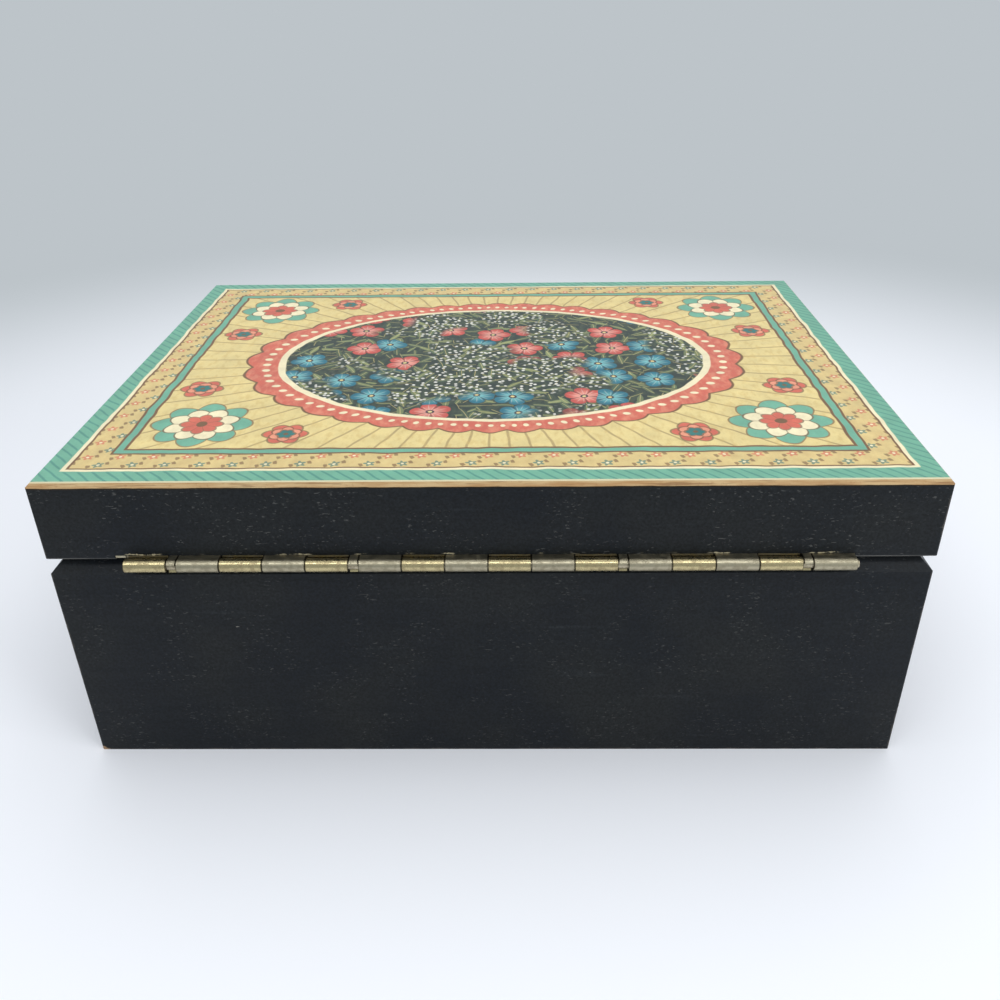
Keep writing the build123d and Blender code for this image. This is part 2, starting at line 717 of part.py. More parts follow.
def comb():
    """Steel comb: a thick seat, thin teeth of growing length and lead weights under the low ones."""
    tooth_bottom = COMB_TOP - TOOTH_THICKNESS
    outline = [
        (-COMB_BACK, COMB_BOTTOM),
        (-COMB_SEAT, COMB_BOTTOM),
        (-COMB_ROOT, tooth_bottom),
        (-COMB_TIP, tooth_bottom),
        (-COMB_TIP, COMB_TOP),
        (-COMB_BACK, COMB_TOP),
    ]
    plate = Pos(COMB_LEFT, 0, 0) * sheet(Plane.YZ, outline, COMB_WIDTH)
    for index in range(WEIGHTED_TEETH):
        x = COMB_LEFT + (TOOTH_COUNT - 1 - index) * TOOTH_PITCH + TOOTH_SLIT / 2
        depth = WEIGHT_DEPTH - WEIGHT_DEPTH_STEP * index
        front = -COMB_TIP - WEIGHT_SETBACK
        plate += block(
            (x, x + TOOTH_PITCH - TOOTH_SLIT),
            (front - WEIGHT_LENGTH, front),
            (tooth_bottom - depth, tooth_bottom),
        )
    for index in range(TOOTH_COUNT - 1):
        x = COMB_LEFT + (index + 1) * TOOTH_PITCH
        plate -= block(
            (x - TOOTH_SLIT / 2, x + TOOTH_SLIT / 2),
            (-COMB_TIP - comb_slit_length(index), -COMB_TIP),
            (COMB_BOTTOM, COMB_TOP),
        )
    for x in COMB_SCREW_X:
        plate -= tapped_hole(x, COMB_SCREW_Y, COMB_TOP, COMB_THICKNESS)
    return plate


def cylinder():
    """Thin brass tube with a track of short pins in front of every comb tooth."""
    inner = CYLINDER_RADIUS - CYLINDER_WALL
    tube = on_cylinder_axis(CYLINDER_RADIUS, 0, CYLINDER_LENGTH)
    tube -= on_cylinder_axis(inner, 0, CYLINDER_LENGTH)
    root = inner + CYLINDER_WALL / 2
    pin = Pos(0, 0, (root + PIN_CIRCLE) / 2) * Box(PIN_WIDTH, PIN_WIDTH, PIN_CIRCLE - root)
    pins = []
    for track in range(TOOTH_COUNT):
        x = COMB_LEFT + (track + 0.5) * TOOTH_PITCH
        for note in range(PINS_PER_TRACK):
            angle = PIN_TURN * track + 360 / PINS_PER_TRACK * note
            pins.append(Pos(x, 0, CYLINDER_AXIS_HEIGHT) * Rot(angle, 0, 0) * pin)
    return tube.fuse(*pins)


def on_cylinder_axis(radius, start, end):
    """A round bar on the cylinder's axis."""
    return rod_along_x(radius, start, end, 0, CYLINDER_AXIS_HEIGHT)


def cylinder_cap():
    """Disc that closes the left end of the cylinder tube and holds it on the arbor."""
    disc = on_cylinder_axis(CYLINDER_RADIUS - CYLINDER_WALL - PRESS_PLAY, 0, CAP_THICKNESS)
    return disc - on_cylinder_axis(CYLINDER_ARBOR_RADIUS + PRESS_PLAY, 0, CAP_THICKNESS)


def cylinder_pinion():
    """Pinion on the left of the bracket, driven by the crown teeth; one tooth points down."""
    root = CROWN_PINION_RADIUS - CROWN_PINION_DEDENDUM
    tip = CROWN_PINION_RADIUS + CROWN_PINION_ADDENDUM
    face = gear_face(CROWN_PINION_TEETH, root, tip, CROWN_PINION_TOOTH, -pi / 2)
    start = CROWN_PINION_RIGHT - CROWN_FACE
    pinion = gear_along_x(face, start, CROWN_FACE, 0, CYLINDER_AXIS_HEIGHT)
    return pinion - on_cylinder_axis(CYLINDER_ARBOR_RADIUS + PRESS_PLAY, start, CROWN_PINION_RIGHT)


def cylinder_wheel():
    """Wheel at the right end of the cylinder that drives the governor, with a disc that closes
    the tube; one tooth lies on the line between the two arbors."""
    toward_governor = atan2(-GOVERNOR_DROP, GOVERNOR_Y)
    root = WHEEL_RADIUS - WHEEL_DEDENDUM
    tip = WHEEL_RADIUS + WHEEL_ADDENDUM
    face = gear_face(WHEEL_TEETH, root, tip, WHEEL_TOOTH, toward_governor)
    wheel = gear_along_x(face, WHEEL_LEFT, WHEEL_FACE, 0, CYLINDER_AXIS_HEIGHT)
    plug_left = CYLINDER_LENGTH - CAP_THICKNESS
    wheel += on_cylinder_axis(CYLINDER_ARBOR_RADIUS + WHEEL_NECK, plug_left, WHEEL_LEFT)
    wheel += on_cylinder_axis(CYLINDER_RADIUS - CYLINDER_WALL - PRESS_PLAY, plug_left, CYLINDER_LENGTH)
    return wheel - on_cylinder_axis(CYLINDER_ARBOR_RADIUS + PRESS_PLAY, plug_left, WHEEL_LEFT + WHEEL_FACE)


def cylinder_arbor():
    """Arbor from the pinion to the governor frame's left cheek."""
    start = CROWN_PINION_RIGHT - CROWN_FACE - END_SHAKE
    end = CHEEK_LEFT + FRAME_SHEET + END_SHAKE
    return on_cylinder_axis(CYLINDER_ARBOR_RADIUS, start, end)


# Spring barrel


def spring_barrel():
    """Cup that holds the mainspring, closed at the top, with crown teeth round its upper rim."""
    inner = BARREL_OUTER - BARREL_WALL
    bore = WINDING_ARBOR_RADIUS + SHAFT_PLAY
    outline = [
        (bore, BARREL_TOP - BARREL_WALL),
        (inner, BARREL_TOP - BARREL_WALL),
        (inner, BARREL_BOTTOM),
        (BARREL_OUTER, BARREL_BOTTOM),
        (BARREL_OUTER, BARREL_TOP),
        (bore, BARREL_TOP),
    ]
    cup = turned(outline)
    root, tip = [share * pi * CROWN_MODULE / 2 for share in CROWN_TOOTH]
    height = CROWN_DEDENDUM + CROWN_ADDENDUM
    outline = [(-root, 0), (root, 0), (tip, height), (-tip, height)]
    tooth = Pos(CROWN_RADIUS - CROWN_FACE / 2, 0, BARREL_TOP) * sheet(Plane.YZ, outline, CROWN_FACE)
    step = 360 / CROWN_TEETH
    teeth = [Rot(0, 0, (index + 0.5) * step) * tooth for index in range(CROWN_TEETH)]
    trim = rod(BARREL_OUTER, BARREL_BOTTOM, CROWN_LEVEL + CROWN_ADDENDUM)
    return Pos(BARREL_X, 0, 0) * (cup.fuse(*teeth) & trim)


def barrel_cover():
    """Disc that closes the barrel from below."""
    radius = BARREL_OUTER - BARREL_WALL - PRESS_PLAY
    disc = rod(radius, BARREL_BOTTOM, BARREL_BOTTOM + BARREL_WALL)
    bore = rod(WINDING_ARBOR_RADIUS + SHAFT_PLAY, BARREL_BOTTOM, BARREL_BOTTOM + BARREL_WALL)
    return Pos(BARREL_X, 0, 0) * (disc - bore)


def mainspring():
    """Spring strip wound in half turns whose radius grows by one step each."""
    first = WINDING_ARBOR_RADIUS + SPRING_START
    sides = {}
    for name, offset in (("outer", SPRING_STRIP / 2), ("inner", -SPRING_STRIP / 2)):
        arcs = []
        for half in range(SPRING_HALF_TURNS):
            centre = (half % 2) * SPRING_STEP
            start = 180 * (half % 2)
            radius = first + half * SPRING_STEP + offset
            arcs.append(CenterArc((centre, 0), radius, start, 180))
        sides[name] = arcs
    ends = [
        Line(sides["outer"][0] @ 0, sides["inner"][0] @ 0),
        Line(sides["outer"][-1] @ 1, sides["inner"][-1] @ 1),
    ]
    face = make_face([*sides["outer"], *sides["inner"], *ends])
    low = BARREL_BOTTOM + BARREL_WALL + SEAT_PLAY
    high = BARREL_TOP - BARREL_WALL - SEAT_PLAY
    return Pos(BARREL_X, 0, low) * extrude(face, high - low)


def winding_arbor():
    """Arbor from the key through the floor board, the bedplate and the barrel to the collar."""
    top = BARREL_TOP + SEAT_PLAY + COLLAR_HEIGHT
    bottom = -FLOOR_BOARD - KEY_DROP - KEY_HUB_LENGTH + KEY_CAP
    return Pos(BARREL_X, 0, 0) * rod(WINDING_ARBOR_RADIUS, bottom, top)


def arbor_collar():
    """Slotted collar that keeps the barrel down on the arbor."""
    low = BARREL_TOP + SEAT_PLAY
    collar = rod(COLLAR_RADIUS, low, low + COLLAR_HEIGHT)
    collar -= rod(WINDING_ARBOR_RADIUS + PRESS_PLAY, low, low + COLLAR_HEIGHT)
    return Pos(BARREL_X, 0, 0) * collar


def winding_key():
    """Butterfly key: a hub on the arbor and two rounded wings with an eye each."""
    top = -FLOOR_BOARD - KEY_DROP
    bottom = top - KEY_HUB_LENGTH
    wing = SlotOverall(KEY_SPAN, KEY_WING_HEIGHT)
    for side in (-1, 1):
        wing -= Pos(side * (KEY_SPAN - KEY_WING_HEIGHT) / 2, 0) * Circle(KEY_EYE_RADIUS)
    level = bottom + KEY_WING_HEIGHT / 2 - KEY_WING_DROP
    key = Pos(0, KEY_THICKNESS / 2, level) * extrude(Plane.XZ * wing, KEY_THICKNESS)
    key += rod(KEY_HUB_RADIUS, bottom, top)
    key -= rod(WINDING_ARBOR_RADIUS + PRESS_PLAY, bottom + KEY_CAP, top)
    return Pos(BARREL_X, 0, 0) * key


# Governor


def governor_frame():
    """Bent frame: a foot, two cheeks for the arbors, a back wall and an arm over the fan."""
    foot_top = BED_THICKNESS + FRAME_SHEET
    far = CHEEK_RIGHT + FRAME_SHEET
    wall_y = WORM_Y + FAN_RADIUS + FAN_CLEARANCE
    arm_top = ARM_BOTTOM + FRAME_SHEET
    foot = (-FRAME_HALF_WIDTH, wall_y + FRAME_SHEET)
    frame = block((CHEEK_LEFT, far), foot, (BED_THICKNESS, foot_top))
    crown = CYLINDER_AXIS_HEIGHT + CHEEK_CROWN
    shoulder = GOVERNOR_Z + CHEEK_SHOULDER
    behind = GOVERNOR_Y + CHEEK_MARGIN
    left_cheek = [
        (-FRAME_HALF_WIDTH, BED_THICKNESS),
        (behind, BED_THICKNESS),
        (behind, shoulder),
        (FRAME_HALF_WIDTH, shoulder),
        (CHEEK_CROWN, crown),
        (-CHEEK_CROWN, crown),
        (-FRAME_HALF_WIDTH, shoulder),
    ]
    right_cheek = [
        (GOVERNOR_Y - RIGHT_CHEEK_FOOT, BED_THICKNESS),
        (behind, BED_THICKNESS),
        (behind, shoulder),
        (GOVERNOR_Y - CHEEK_MARGIN, shoulder),
    ]
    frame += Pos(CHEEK_LEFT, 0, 0) * sheet(Plane.YZ, left_cheek, FRAME_SHEET)
    frame += Pos(CHEEK_RIGHT, 0, 0) * sheet(Plane.YZ, right_cheek, FRAME_SHEET)
    wall = block((CHEEK_LEFT, far), (wall_y, wall_y + FRAME_SHEET), (BED_THICKNESS, arm_top))
    arm_x = (WORM_X - ARM_HALF_WIDTH, WORM_X + ARM_HALF_WIDTH)
    arm = block(arm_x, (WORM_Y - ARM_MARGIN, wall_y + FRAME_SHEET), (ARM_BOTTOM, arm_top))
    frame += wall + arm
    for x in (CHEEK_LEFT, CHEEK_RIGHT):
        bore = GOVERNOR_ARBOR_RADIUS + SHAFT_PLAY
        frame -= rod_along_x(bore, x, x + FRAME_SHEET, GOVERNOR_Y, GOVERNOR_Z)
    bore = CYLINDER_ARBOR_RADIUS + SHAFT_PLAY
    frame -= on_cylinder_axis(bore, CHEEK_LEFT, CHEEK_LEFT + FRAME_SHEET)
    pivot = rod(WORM_PIVOT_RADIUS + SHAFT_PLAY, BED_THICKNESS, arm_top)
    frame -= Pos(WORM_X, WORM_Y, 0) * pivot
    return frame - tapped_hole(FRAME_SCREW_X, FRAME_SCREW_Y, foot_top, FRAME_SHEET)


def governor_arbor():
    """Arbor with the pinion that the cylinder wheel drives; a gap faces the wheel's tooth."""
    toward_cylinder = atan2(GOVERNOR_DROP, -GOVERNOR_Y)
    root = PINION_RADIUS - PINION_DEDENDUM
    tip = PINION_RADIUS + PINION_ADDENDUM
    phase = toward_cylinder + pi / PINION_TEETH
    face = gear_face(PINION_TEETH, root, tip, PINION_TOOTH, phase)
    pinion = gear_along_x(face, WHEEL_LEFT, WHEEL_FACE, GOVERNOR_Y, GOVERNOR_Z)
    end = CHEEK_RIGHT + FRAME_SHEET + END_SHAKE
    return pinion + rod_along_x(GOVERNOR_ARBOR_RADIUS, WHEEL_LEFT, end, GOVERNOR_Y, GOVERNOR_Z)


def governor_wheel():
    """Worm wheel between the cheeks; a gap faces the worm."""
    root = WORM_WHEEL_RADIUS - WORM_DEDENDUM
    tip = WORM_WHEEL_RADIUS + WORM_ADDENDUM
    face = gear_face(WORM_WHEEL_TEETH, root, tip, WORM_WHEEL_TOOTH, pi / WORM_WHEEL_TEETH)
    left = WORM_X - WORM_WHEEL_FACE / 2
    wheel = gear_along_x(face, left, WORM_WHEEL_FACE, GOVERNOR_Y, GOVERNOR_Z)
    bore = GOVERNOR_ARBOR_RADIUS + PRESS_PLAY
    return wheel - rod_along_x(bore, left, left + WORM_WHEEL_FACE, GOVERNOR_Y, GOVERNOR_Z)


def governor_worm():
    """Upright single-start worm whose thread faces the wheel at the wheel's own height."""
    core = WORM_PITCH_RADIUS - WORM_DEDENDUM
    crest = WORM_PITCH_RADIUS + WORM_ADDENDUM
    height = WORM_TURNS * WORM_PITCH
    toward_wheel = 0.75
    turns_to_wheel = toward_wheel + round(WORM_TURNS / 2 - toward_wheel)
    start = GOVERNOR_Z - turns_to_wheel * WORM_PITCH
    path = Helix(WORM_PITCH, height, core, center=(0, 0, start))
    root, tip = [share * WORM_PITCH / 2 for share in WORM_THREAD]
    section = [
        (-THREAD_SINK, -root),
        (-THREAD_SINK, root),
        (crest - core, tip),
        (crest - core, -tip),
    ]
    plane = Plane(origin=path @ 0, x_dir=(1, 0, 0), z_dir=path % 0)
    thread = sweep(plane * make_face(Polyline(*section, close=True)), path=path, is_frenet=True)
    bottom = BED_THICKNESS + PRESS_PLAY
    top = ARM_BOTTOM + FRAME_SHEET
    shoulders = (BED_THICKNESS + FRAME_SHEET + END_SHAKE, FAN_LEVEL - PRESS_PLAY)
    outline = [
        (0, bottom),
        (WORM_PIVOT_RADIUS, bottom),
        (WORM_PIVOT_RADIUS, shoulders[0]),
        (core, shoulders[0]),
        (core, shoulders[1]),
        (WORM_PIVOT_RADIUS, shoulders[1]),
        (WORM_PIVOT_RADIUS, top),
        (0, top),
    ]
    return Pos(WORM_X, WORM_Y, 0) * (turned(outline) + thread)


def air_fan():
    """Two-bladed fan that brakes the worm."""
    hub = rod(WORM_PIVOT_RADIUS + FAN_HUB_WALL, FAN_LEVEL, FAN_LEVEL + FAN_HEIGHT)
    blades = block(
        (-FAN_RADIUS, FAN_RADIUS),
        (-FAN_SHEET / 2, FAN_SHEET / 2),
        (FAN_LEVEL, FAN_LEVEL + FAN_HEIGHT),
    )
    tips = rod(FAN_RADIUS, FAN_LEVEL, FAN_LEVEL + FAN_HEIGHT)
    bore = rod(WORM_PIVOT_RADIUS + PRESS_PLAY, FAN_LEVEL, FAN_LEVEL + FAN_HEIGHT)
    return Pos(WORM_X, WORM_Y, 0) * ((hub + (blades & tips)) - bore)


def stop_rod():
    """Rod that the lid holds down, with a finger just outside the fan's circle."""
    top = PANEL_BOTTOM - LID_LINING - SEAT_PLAY - FLOOR_TOP
    level = FAN_LEVEL + FAN_HEIGHT / 2
    stem = Pos(ROD_X, WORM_Y, 0) * rod(STOP_ROD_RADIUS, ROD_BOTTOM, top)
    finger_end = WORM_X - FAN_RADIUS - SEAT_PLAY
    half = STOP_FINGER / 2
    return stem + block((ROD_X, finger_end), (WORM_Y - half, WORM_Y + half), (level, level + STOP_FINGER))


def case_nodes():
    """Every fixed piece of the base but the movement."""
    walls = base_walls()
    nodes = {"base_back_board": back_board(walls, -1, BASE_HEIGHT)}
    for side in ("front", "left", "right"):
        nodes[f"base_{side}_board"] = walls & board_wedge(side, BASE_HEIGHT)
    nodes["floor_board"] = floor_board()
    nodes["long_divider"] = long_divider()
    nodes["cross_divider"] = cross_divider()
    nodes["cover_cleats"] = cover_cleats()
    nodes["movement_cover"] = movement_cover()
    nodes["large_well_floor_felt"] = floor_felt(LARGE_WELL_X, LARGE_WELL_Y)
    nodes["large_well_wall_felts"] = wall_felts(LARGE_WELL_X, LARGE_WELL_Y)
    nodes["small_well_floor_felt"] = floor_felt(SMALL_WELL_X, SMALL_WELL_Y)
    nodes["small_well_wall_felts"] = wall_felts(SMALL_WELL_X, SMALL_WELL_Y)
    nodes["hinge_base_leaf"] = hinge_leaf(-1)
    nodes["hinge_base_screws"] = Compound(hinge_screws(-1))
    nodes["hinge_pin"] = hinge_pin()
    return nodes


def lid_nodes():
    """Every piece that turns with the lid."""
    walls = lid_walls()
    top = lid_top()
    nodes = {"lid_back_rail": back_board(walls, 1, BOX_TOP)}
    for side in ("front", "left", "right"):
        nodes[f"lid_{side}_rail"] = walls & board_wedge(side, BOX_TOP)
    nodes["lid_panel"] = top & block((LEFT, RIGHT), (FRONT, BACK), (PANEL_BOTTOM, PANEL_TOP))
    nodes["lid_print"] = top & block((LEFT, RIGHT), (FRONT, BACK), (PANEL_TOP, BOX_TOP))
    nodes["lid_lining"] = lid_lining()
    nodes["hinge_lid_leaf"] = hinge_leaf(1)
    nodes["hinge_lid_screws"] = Compound(hinge_screws(1))
    return nodes


def movement_nodes():
    """Every piece of the movement, in the box's frame."""
    pieces = {
        "bedplate": bedplate(),
        "mounting_screws": Compound(mounting_screws()),
        "comb": comb(),
        "comb_screws": Compound(comb_screws()),
        "cylinder_bracket": cylinder_bracket(),
        "frame_screws": Compound(frame_screws()),
        "governor_frame": governor_frame(),
        "cylinder": cylinder(),
        "cylinder_cap": cylinder_cap(),
        "cylinder_pinion": cylinder_pinion(),
        "cylinder_wheel": cylinder_wheel(),
        "cylinder_arbor": cylinder_arbor(),
        "spring_barrel": spring_barrel(),
        "barrel_cover": barrel_cover(),
        "mainspring": mainspring(),
        "winding_arbor": winding_arbor(),
        "arbor_collar": arbor_collar(),
        "winding_key": winding_key(),
        "governor_arbor": governor_arbor(),
        "governor_wheel": governor_wheel(),
        "governor_worm": governor_worm(),
        "air_fan": air_fan(),
        "stop_rod": stop_rod(),
    }
    return {name: in_movement(shape) for name, shape in pieces.items()}


os.makedirs("parts", exist_ok=True)
for name, shape in {**case_nodes(), **lid_nodes(), **movement_nodes()}.items():
    export_step(shape, f"parts/{name}.step")
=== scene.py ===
import math

import bpy
from mathutils import Matrix, Vector


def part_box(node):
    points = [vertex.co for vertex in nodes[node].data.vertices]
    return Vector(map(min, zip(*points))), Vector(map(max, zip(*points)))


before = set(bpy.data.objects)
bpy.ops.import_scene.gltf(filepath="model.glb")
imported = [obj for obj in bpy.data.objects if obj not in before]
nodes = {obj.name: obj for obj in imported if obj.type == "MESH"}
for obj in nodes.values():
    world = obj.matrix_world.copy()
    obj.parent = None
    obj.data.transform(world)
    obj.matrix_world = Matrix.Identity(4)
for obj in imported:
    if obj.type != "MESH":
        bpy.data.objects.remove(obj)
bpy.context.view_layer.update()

# The view of the photograph, fitted to the corners of the box; lengths in metres and millimetres
CAMERA_PLACE = (-0.0070, 0.2355, 0.1644)
CAMERA_PITCH = math.radians(29.595)
CAMERA_YAW = math.radians(0.988)
CAMERA_ROLL = math.radians(-0.747)
SENSOR = 36.0
LENS = 33.785
LENS_SHIFT = -0.0069
NEAREST_SEEN = 0.005

# The even room light, and the soft lamps: name, place and size in metres, power in watts
ROOM_LEVEL = 0.43
LAMPS = (
    ("light_key", (0.0, 0.62, 1.05), (1.6, 0.22), 4.8),
    ("light_above", (0.0, -0.35, 1.1), (1.4, 1.0), 6.4),
    ("light_left", (0.9, 0.25, 0.6), (0.7, 0.7), 1.3),
    ("light_right", (-0.8, 0.5, 0.35), (0.6, 0.6), 4.4),
)
LAMP_TARGET = (0.0, 0.0, 0.05)
LAMP_COLOUR = (0.975, 0.985, 1.0)

# Half the floor's width, and the distances between which its tone goes over into the room's
FLOOR_HALF = 20.0
FLOOR_FADE = (0.17, 0.46)

# Places that the finishes are laid out from, in metres, read from the frame
MM = 0.001
BACK_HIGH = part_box("base_back_board")[1]
LID_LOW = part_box("lid_back_rail")[0]
PANEL_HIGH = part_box("lid_panel")[1]
PRINT_LOW, PRINT_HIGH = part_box("lid_print")
HINGE_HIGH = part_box("hinge_base_leaf")[1]
BASE_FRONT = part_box("base_front_board")[0].y
BASE_BACK = BACK_HIGH.y
HALF_WIDTH = BACK_HIGH.x
MIDDLE_Y = (PRINT_LOW.y + PRINT_HIGH.y) / 2
BASE_BOX_LOW = (-HALF_WIDTH, BASE_FRONT, 0.0)
BASE_BOX_HIGH = (HALF_WIDTH, BASE_BACK, BACK_HIGH.z)
LID_BOX_LOW = (-HALF_WIDTH, BASE_FRONT, LID_LOW.z)
LID_BOX_HIGH = (HALF_WIDTH, BASE_BACK, PANEL_HIGH.z)
CHIP_LEVEL = HINGE_HIGH.z + 0.25 * MM
# Height below which the pale painted highlight runs along the lid's lower edge
EDGE_HIGHLIGHT_LEVEL = LID_LOW.z + 0.55 * MM
BEVEL_LEVEL = PANEL_HIGH.z - 1.0 * MM

# Corners of the base that are broken down to the wood, and how far each break reaches
CHIPS = (
    ((HALF_WIDTH, BASE_BACK, 0.0), 1.3 * MM),
    ((-HALF_WIDTH, BASE_FRONT, 0.0), 1.1 * MM),
)

# The hinge's knuckles along the back, in millimetres, from +X to -X
KNUCKLE_COUNT = 16
KNUCKLE_PITCH = 9.15
STOP_GAP = 2.1
STOP_KNUCKLES = (1, 5, 11, 15)
JOINT_HALF = 0.19

# A pattern that isn't stretched along any axis, and one that isn't moved
EVEN = (1.0, 1.0, 1.0)
UNMOVED = (0.0, 0.0, 0.0)

# The colour sockets of a Mix node
MIX_FIRST, MIX_SECOND, MIX_RESULT = 6, 7, 2


class Field:
    """A number at each point of a surface, worked out by Math nodes."""

    def __init__(self, tree, socket):
        self.tree = tree
        self.socket = socket

    def math(self, operation, *others):
        node = self.tree.nodes.new("ShaderNodeMath")
        node.operation = operation
        for index, value in enumerate((self, *others)):
            connect(self.tree, value, node.inputs[index])
        return Field(self.tree, node.outputs[0])

    def __add__(self, other):
        return self.math("ADD", other)

    def __sub__(self, other):
        return self.math("SUBTRACT", other)

    def __mul__(self, other):
        return self.math("MULTIPLY", other)

    def __truediv__(self, other):
        return self.math("DIVIDE", other)

    def __abs__(self):
        return self.math("ABSOLUTE")

    def flipped(self):
        """One minus this number."""
        return self * -1.0 + 1.0

    def low(self, other):
        return self.math("MINIMUM", other)

    def high(self, other):
        return self.math("MAXIMUM", other)

    def repeat(self, period):
        """The distance from the nearest whole multiple of the period, with its sign."""
        return self - (self / period).math("ROUND") * period

    def angle(self, across):
        return self.math("ARCTAN2", across)

    def sin(self):
        return self.math("SINE")

    def cos(self):
        return self.math("COSINE")

    def length(self, across):
        return (self * self + across * across).math("SQRT")

    def fade(self, start, end, low=0.0, high=1.0):
        """Goes smoothly from low at start to high at end, and stays there beyond them."""
        node = self.tree.nodes.new("ShaderNodeMapRange")
        node.interpolation_type = "SMOOTHSTEP"
        limits = {"From Min": start, "From Max": end, "To Min": low, "To Max": high}
        for name, value in limits.items():
            node.inputs[name].default_value = value
        connect(self.tree, self, node.inputs["Value"])
        return Field(self.tree, node.outputs["Result"])

    def below(self, limit, soft):
        """One where this number is under the limit, none where it is over, with a soft edge."""
        return (self - limit).fade(-soft, soft, 1.0, 0.0)


def connect(tree, value, socket):
    """Links a field or a socket to an input, or sets a plain number or colour on it."""
    if isinstance(value, Field):
        tree.links.new(value.socket, socket)
    elif isinstance(value, bpy.types.NodeSocket):
        tree.links.new(value, socket)
    else:
        socket.default_value = value


def tone(red, green, blue):
    """A colour as a picture shows it, 0 to 255, made linear for a shader by the sRGB curve."""
    parts = []
    for value in (red, green, blue):
        share = value / 255
        parts.append(share / 12.92 if share <= 0.04045 else ((share + 0.055) / 1.055) ** 2.4)
    return (*parts, 1.0)


class Finish:
    """One procedural material: its shader, the place on the piece, and the patterns it uses."""

    def __init__(self, name, **settings):
        self.material = bpy.data.materials.new(name)
        self.material.use_nodes = True
        self.tree = self.material.node_tree
        self.shader = self.tree.nodes["Principled BSDF"]
        self.place = self.tree.nodes.new("ShaderNodeTexCoord").outputs["Object"]
        axes = self.tree.nodes.new("ShaderNodeSeparateXYZ")
        self.tree.links.new(self.place, axes.inputs[0])
        self.x, self.y, self.z = (Field(self.tree, axes.outputs[index]) for index in range(3))
        for key, value in settings.items():
            self.set(key.replace("_", " "), value)

    def set(self, name, value):
        """Links a field or a colour to one of the shader's sockets, or sets it there."""
        names = {socket.name.lower(): socket for socket in self.shader.inputs}
        connect(self.tree, value, names[name.lower()])

    def scaled(self, stretch, shift, slant):
        """The place on the piece, stretched by a factor along each axis and slanted from level."""
        node = self.tree.nodes.new("ShaderNodeMapping")
        node.inputs["Rotation"].default_value = (slant, slant, 0.0)
        node.inputs["Scale"].default_value = stretch
        node.inputs["Location"].default_value = shift
        self.tree.links.new(self.place, node.inputs["Vector"])
        return node.outputs[0]

    def noise(self, size, detail=2.0, stretch=EVEN, roughness=0.5, shift=UNMOVED, slant=0.0):
        """Soft random variation with spots of about the given size in metres."""
        node = self.tree.nodes.new("ShaderNodeTexNoise")
        node.inputs["Scale"].default_value = 1.0 / size
        node.inputs["Detail"].default_value = detail
        node.inputs["Roughness"].default_value = roughness
        self.tree.links.new(self.scaled(stretch, shift, slant), node.inputs["Vector"])
        return Field(self.tree, node.outputs["Fac"])

    def mix(self, share, first, second):
        """Goes from the first colour to the second as the share goes from none to one."""
        node = self.tree.nodes.new("ShaderNodeMix")
        node.data_type = "RGBA"
        connect(self.tree, share, node.inputs["Factor"])
        connect(self.tree, first, node.inputs[MIX_FIRST])
        connect(self.tree, second, node.inputs[MIX_SECOND])
        return node.outputs[MIX_RESULT]

    def shade(self, amount, colour):
        """The colour made darker or lighter by a factor."""
        node = self.tree.nodes.new("ShaderNodeMix")
        node.data_type = "RGBA"
        node.blend_type = "MULTIPLY"
        node.inputs["Factor"].default_value = 1.0
        grey = self.tree.nodes.new("ShaderNodeCombineColor")
        for index in range(3):
            connect(self.tree, amount, grey.inputs[index])
        connect(self.tree, colour, node.inputs[MIX_FIRST])
        connect(self.tree, grey.outputs[0], node.inputs[MIX_SECOND])
        return node.outputs[MIX_RESULT]

    def relief(self, height, depth):
        """Raises and lowers the surface's look by the height field, times a depth in metres."""
        node = self.tree.nodes.new("ShaderNodeBump")
        node.inputs["Distance"].default_value = depth
        connect(self.tree, height, node.inputs["Height"])
        connect(self.tree, node.outputs[0], self.shader.inputs["Normal"])

    def put_on(self, *names):
        """Gives the material to the named pieces, in place of what they came with."""
        for name in names:
            slots = nodes[name].data.materials
            slots.clear()
            slots.append(self.material)


def split_colour(finish, socket):
    """The three parts of a colour as fields."""
    node = finish.tree.nodes.new("ShaderNodeSeparateColor")
    finish.tree.links.new(socket, node.inputs[0])
    return [Field(finish.tree, node.outputs[index]) for index in range(3)]


def flecks(finish, size, rarity, shift, slant):
    """Short thin scratches where a fine noise is strong; the rarer, the fewer of them."""
    streaks = finish.noise(size, 2.0, (0.32, 0.32, 1.0), 0.6, shift, slant)
    return streaks.fade(rarity, rarity + 0.05)


def edge_distance(finish, low, high):
    """How far a point on a box's surface is from the box's nearest edge."""
    gaps = []
    for axis, start, end in zip((finish.x, finish.y, finish.z), low, high):
        gaps.append(abs(abs(axis - (start + end) / 2) - (end - start) / 2))
    first, second, third = gaps
    return first.low(second).high(first.high(second).low(third))


def corner_distance(finish, corner):
    """How far a point is from a corner of the box."""
    across = (finish.x - corner[0]).length(finish.y - corner[1])
    return across.length(finish.z - corner[2])


# The black paint, what shows where it is worn, and the lid edge's painted highlight
BLACK = tone(13, 18, 23)
BLACK_WARM = tone(22, 25, 26)
BLACK_GREY = tone(46, 50, 53)
SCUFF = tone(140, 140, 136)
DEEP_SCUFF = tone(192, 188, 176)
RUBBED = tone(104, 98, 90)
# Pale tone painted as the highlight along the lid's lower edge
EDGE_HIGHLIGHT = tone(128, 127, 122)
FILLER = tone(190, 180, 148)
BARE_WOOD = tone(158, 128, 96)

# How strongly the fine scratches show on the two halves of the box
BASE_WEAR = 0.13
LID_WEAR = 0.2

# Scratches: size in metres, how rare they are, the pattern's shift, and its slant in radians
LEVEL_SCRATCHES = (0.00042, 0.64, (0.1, 0.4, 0.2), 0.0)
SLANTED_SCRATCHES = (0.0005, 0.66, (2.1, 1.4, 0.9), 0.6)
DEEP_SCRATCHES = (0.0008, 0.76, (1.7, 0.3, 2.2), -0.35)

# Brush lines run level round the box, so their pattern is drawn out along X and Y
BRUSHED = (0.06, 0.06, 1.0)


